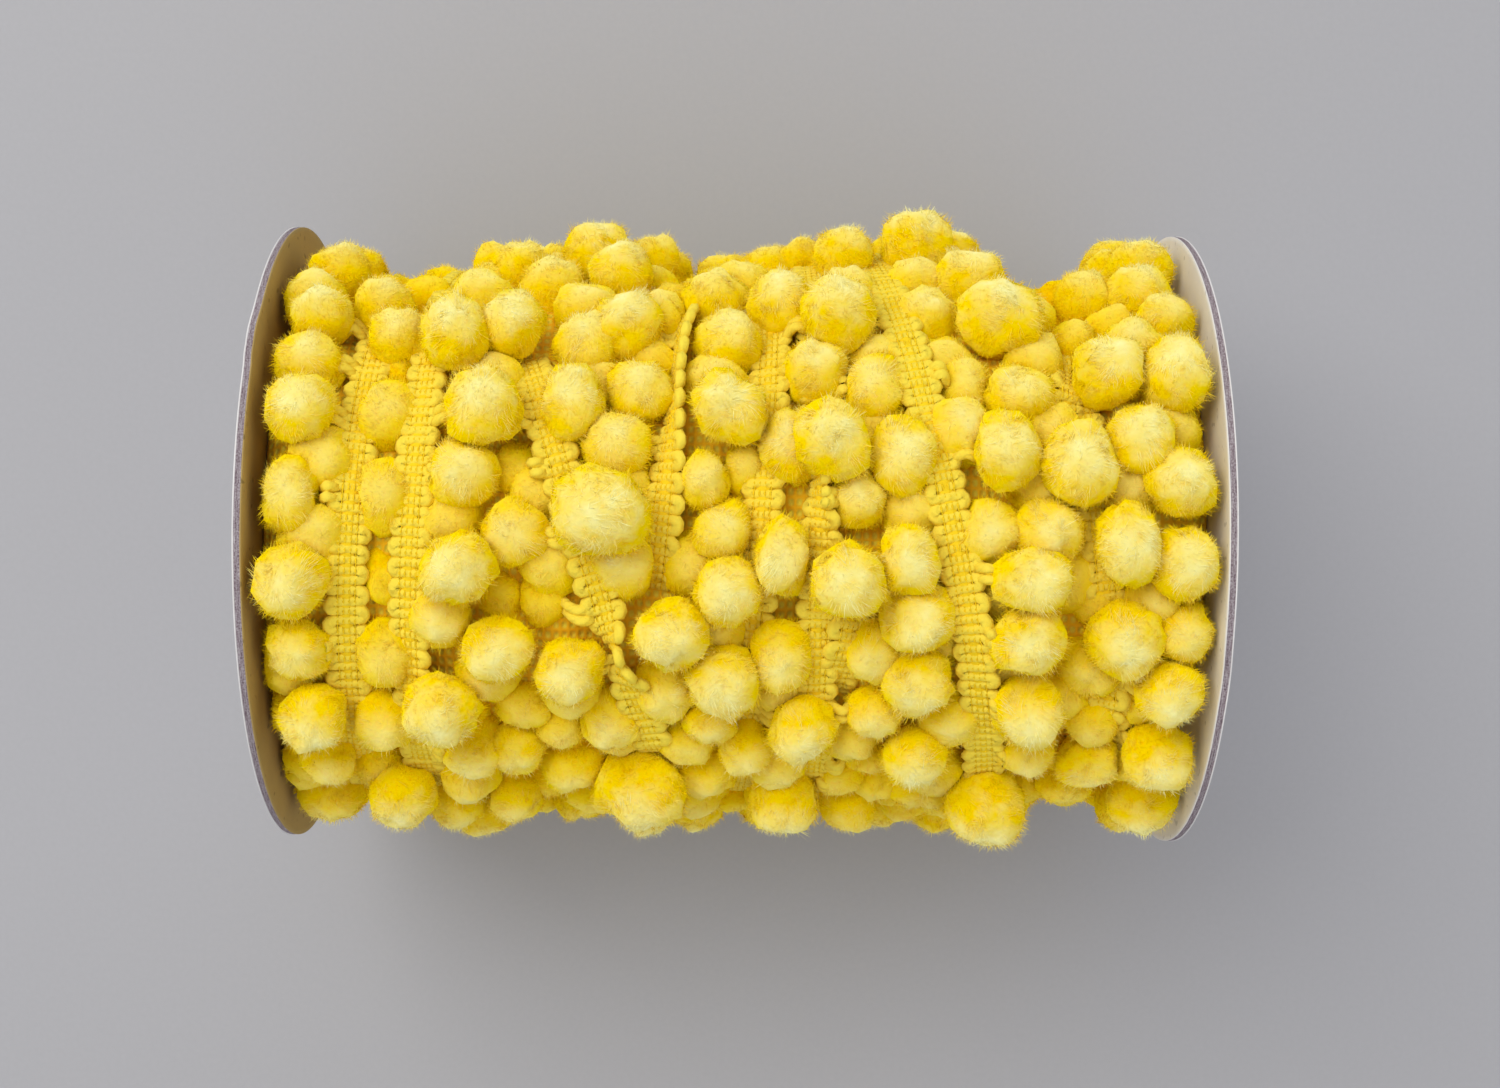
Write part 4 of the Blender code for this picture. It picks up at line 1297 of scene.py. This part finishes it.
def rim_radius(angle, dents):
    """The disc's rim: round, pressed in at its dents and flat where it rests."""
    radius = np.full_like(angle, DISC_RADIUS)
    for dent in dents:
        along_rim = (angle - dent.angle) * DISC_RADIUS / dent.half_length
        radius -= dent.depth * np.exp(-(along_rim**2))
    below = np.clip(-np.cos(angle), 0.01, None)
    return np.minimum(radius, AXIS_HEIGHT / below)


def card_disc(name, node_name, direction, dents, materials, settings, seed):
    """A card disc: a profile from the middle of its inner face over the cut edge to the middle of its outer
    face, carried round the axis. The edge's plies stand back unevenly, and dents bend the rim outwards."""
    dice = np.random.default_rng(seed)
    angle = np.arange(RIM_COLUMNS) * FULL_TURN / RIM_COLUMNS
    angle = (angle + np.pi) % FULL_TURN - np.pi
    rim = rim_radius(angle, dents)
    rows = len(RIM_PROFILE)
    fray = dice.normal(0, 0.12, (rows, RIM_COLUMNS)) + 0.2 * np.sin(angle * 9 + np.arange(rows)[:, None] * 2)
    back = (RIM_PROFILE[:, 1:2] + fray * (RIM_PROFILE[:, 2:] == BOARD)) * settings.ply_groove
    edge_radius = rim - back
    edge_x = np.broadcast_to(RIM_PROFILE[:, :1] * CARD_THICKNESS, edge_radius.shape)
    face_radius = np.minimum(FACE_RADII[:, None], rim - 0.5 * MM)
    inner_x = np.zeros_like(face_radius)
    radius = np.concatenate([face_radius, edge_radius, face_radius[::-1]])
    depth = np.concatenate([inner_x, edge_x, inner_x + CARD_THICKNESS])
    bent = np.zeros_like(angle)
    for dent in dents:
        bent += dent.bend * np.exp(-(((angle - dent.angle) * DISC_RADIUS / dent.half_length) ** 2))
    depth = depth + bent * np.exp(-(((DISC_RADIUS - radius) / BEND_WIDTH).clip(0) ** 2))
    points = place(direction * (CARD_INNER_X + depth), np.broadcast_to(angle, radius.shape), radius)
    grid = numbers(*radius.shape)
    centres = [[direction * CARD_INNER_X, 0, AXIS_HEIGHT], [direction * SPOOL_LENGTH / 2, 0, AXIS_HEIGHT]]
    points = np.concatenate([points.reshape(-1, 3), centres])
    quads = skin(lapped(grid, 1))
    first, last = caps(grid)
    triangles = np.concatenate([first, last])
    across_face = len(FACE_RADII)
    steps = np.concatenate([np.full(across_face, PAPER), RIM_PROFILE[:, 2], np.full(across_face, LINER)])
    on_middles = np.repeat([PAPER, LINER], [len(first), len(last)])
    slots = np.concatenate([np.repeat(steps[1:], RIM_COLUMNS), on_middles])
    along = np.linspace(0, FULL_TURN * DISC_RADIUS / MM, RIM_COLUMNS + 1)
    down = np.concatenate([[0], np.cumsum(np.hypot(np.diff(radius[:, 0]), np.diff(depth[:, 0])))]) / MM
    spots = np.stack(np.broadcast_arrays(along, down[:, None]), axis=-1).reshape(-1, 2)
    spots = spots[skin(numbers(len(down), RIM_COLUMNS + 1)).ravel()]
    spots = np.concatenate([spots, np.zeros((3 * len(triangles), 2))])
    if direction < 0:
        quads, triangles = quads[:, ::-1], triangles[:, ::-1]
        spots = np.concatenate([spots[: 4 * len(quads)].reshape(-1, 4, 2)[:, ::-1].reshape(-1, 2),
                                spots[4 * len(quads):]])
    piece = make_piece(name, points, [quads, triangles], materials, slots=slots, maps={"edge": spots})
    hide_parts(node_name)
    return piece


FLOOR_HALF = 2.5


def add_camera():
    """The camera of the photograph, with the photograph's angle of view."""
    camera = bpy.data.cameras.new("camera")
    camera.sensor_fit = "HORIZONTAL"
    camera.sensor_width = SENSOR_WIDTH
    camera.lens = FOCAL_PIXELS / FRAME_PIXELS * SENSOR_WIDTH
    camera.clip_start = 10 * MM
    obj = bpy.data.objects.new("camera", camera)
    obj.location = CAMERA_PLACE
    obj.rotation_euler = Euler(CAMERA_TURN)
    bpy.context.scene.collection.objects.link(obj)
    bpy.context.scene.camera = obj


def add_soft_light(name, at, width, power, colour):
    """A square light that faces the middle of the spool."""
    light = bpy.data.lights.new(name, "AREA")
    light.shape = "SQUARE"
    light.size = width
    light.energy = power
    light.color = linear(colour)
    obj = bpy.data.objects.new(name, light)
    obj.location = at
    obj.rotation_euler = (Vector((0, 0, AXIS_HEIGHT)) - Vector(at)).to_track_quat("-Z", "Y").to_euler()
    bpy.context.scene.collection.objects.link(obj)


class TRIM_OT_stage(bpy.types.Operator):
    """Lay the floor and set the lights and the camera"""

    bl_idname = "trim.stage"
    bl_label = "Stage"

    def execute(self, context):
        settings = context.scene.trim_stage
        corners = np.array([(-1, -1, 0), (1, -1, 0), (1, 1, 0), (-1, 1, 0)]) * FLOOR_HALF
        mesh = bpy.data.meshes.new("floor")
        mesh.from_pydata(corners.tolist(), [], [(0, 1, 2, 3)])
        mesh.materials.append(floor_paint(settings))
        floor = bpy.data.objects.new("floor", mesh)
        context.scene.collection.objects.link(floor)
        add_camera()
        add_soft_light("key", (-0.45, 0.5, 0.95), 0.8, settings.key_power, "#FFFDF6")
        add_soft_light("fill", (0.9, -0.5, 0.8), 1.0, settings.fill_power, "#F2F5FF")
        world = bpy.data.worlds.new("even sky")
        world.use_nodes = True
        background = world.node_tree.nodes["Background"]
        background.inputs["Color"].default_value = (*linear("#F3F3F4"), 1)
        background.inputs["Strength"].default_value = settings.sky
        context.scene.world = world
        context.scene.view_settings.view_transform = "Standard"
        return {"FINISHED"}


class TRIM_OT_card_discs(bpy.types.Operator):
    """Make the two card discs with their layered edges"""

    bl_idname = "trim.card_discs"
    bl_label = "Card discs"

    def execute(self, context):
        settings = context.scene.trim_card
        board = cut_greyboard(settings)
        liner = paper("white coated liner", settings.outer_paper, 0.6, 0.93)
        # The left face's paper gets painted shade and a painted yellow reflection of the pompoms.
        tan_painted_shade = paper("buff liner paper", settings.left_paper_painted_shade, 0.85, 0.62)
        pale = paper("pale liner paper", settings.right_paper, 0.8, 0.75)
        left, right = [tan_painted_shade, board, liner], [pale, board, liner]
        card_disc("card_disc_left", "flange_left", -1, LEFT_DENTS, left, settings, 3)
        card_disc("card_disc_right", "flange_right", 1, RIGHT_DENTS, right, settings, 4)
        return {"FINISHED"}


class TRIM_OT_pompoms(bpy.types.Operator):
    """Make the rows of pompoms, the pompoms below them and the wound body that they stand on"""

    bl_idname = "trim.pompoms"
    bl_label = "Pompoms"

    def execute(self, context):
        settings = context.scene.trim_pompom
        inner_turns(inner_turns_yarn(settings))
        balls = all_balls()
        pile = acrylic_pile(settings)
        for row in range(len(TURNS)):
            chosen = some_balls(balls, row)
            if not len(chosen.size):
                raise RuntimeError(f"row {row} has no pompoms")
            pompom_piece(f"pompom_row_{row + 1:02d}", chosen, settings.fibres, settings, pile, 100 + row)
        pompom_piece("pompoms_below", some_balls(balls, -1), settings.inner_fibres, settings, pile, 99)
        return {"FINISHED"}


class TRIM_OT_braid(bpy.types.Operator):
    """Make the turns of gimp braid and the ties from it to the pompoms"""

    bl_idname = "trim.braid"
    bl_label = "Gimp braid"

    def execute(self, context):
        settings = context.scene.trim_braid
        # deep is the pile's painted shade colour, which the yarn takes near the axis too.
        deep = context.scene.trim_pompom.deep
        yarn = gimp_yarn("spun acrylic gimp yarn", settings.yarn, deep)
        thread = gimp_yarn("spun acrylic stitching thread", settings.stitches, deep)
        dice = np.random.default_rng(BRAID_SEED)
        for number, braid in enumerate(BRAIDS + SHORT_BRAIDS):
            braid_piece(f"gimp_braid_{number + 1:02d}", braid, settings, yarn, thread, dice)
        ties_piece("pompom_ties", all_balls(), BRAIDS, settings, yarn)
        return {"FINISHED"}


class TRIM_PT_panel(bpy.types.Panel):
    """Lists the spool's pieces and the settings they are built from"""

    bl_idname = "TRIM_PT_panel"
    bl_label = "Pompom trim"
    bl_space_type = "VIEW_3D"
    bl_region_type = "UI"
    bl_category = "Trim"

    def draw(self, context):
        for operator, settings in PANEL_ROWS:
            box = self.layout.box()
            box.operator(operator.bl_idname)
            group = getattr(context.scene, settings)
            for name in group.bl_rna.properties.keys():
                if name not in ("rna_type", "name"):
                    box.prop(group, name)


SETTINGS = {
    "trim_stage": StageSettings,
    "trim_card": CardSettings,
    "trim_pompom": PompomSettings,
    "trim_braid": BraidSettings,
}
PANEL_ROWS = [
    (TRIM_OT_stage, "trim_stage"),
    (TRIM_OT_card_discs, "trim_card"),
    (TRIM_OT_pompoms, "trim_pompom"),
    (TRIM_OT_braid, "trim_braid"),
]
CLASSES = [*SETTINGS.values(), *(row[0] for row in PANEL_ROWS), TRIM_PT_panel]


def register():
    """Adds the settings, the operators and the panel to Blender."""
    for cls in CLASSES:
        bpy.utils.register_class(cls)
    for name, group in SETTINGS.items():
        setattr(bpy.types.Scene, name, PointerProperty(type=group))


def unregister():
    """Takes them out again."""
    for name in SETTINGS:
        delattr(bpy.types.Scene, name)
    for cls in reversed(CLASSES):
        bpy.utils.unregister_class(cls)


def main():
    """Builds the stage and every piece."""
    register()
    bpy.ops.trim.stage()
    bpy.ops.trim.card_discs()
    bpy.ops.trim.pompoms()
    bpy.ops.trim.braid()


if __name__ == "__main__":
    main()
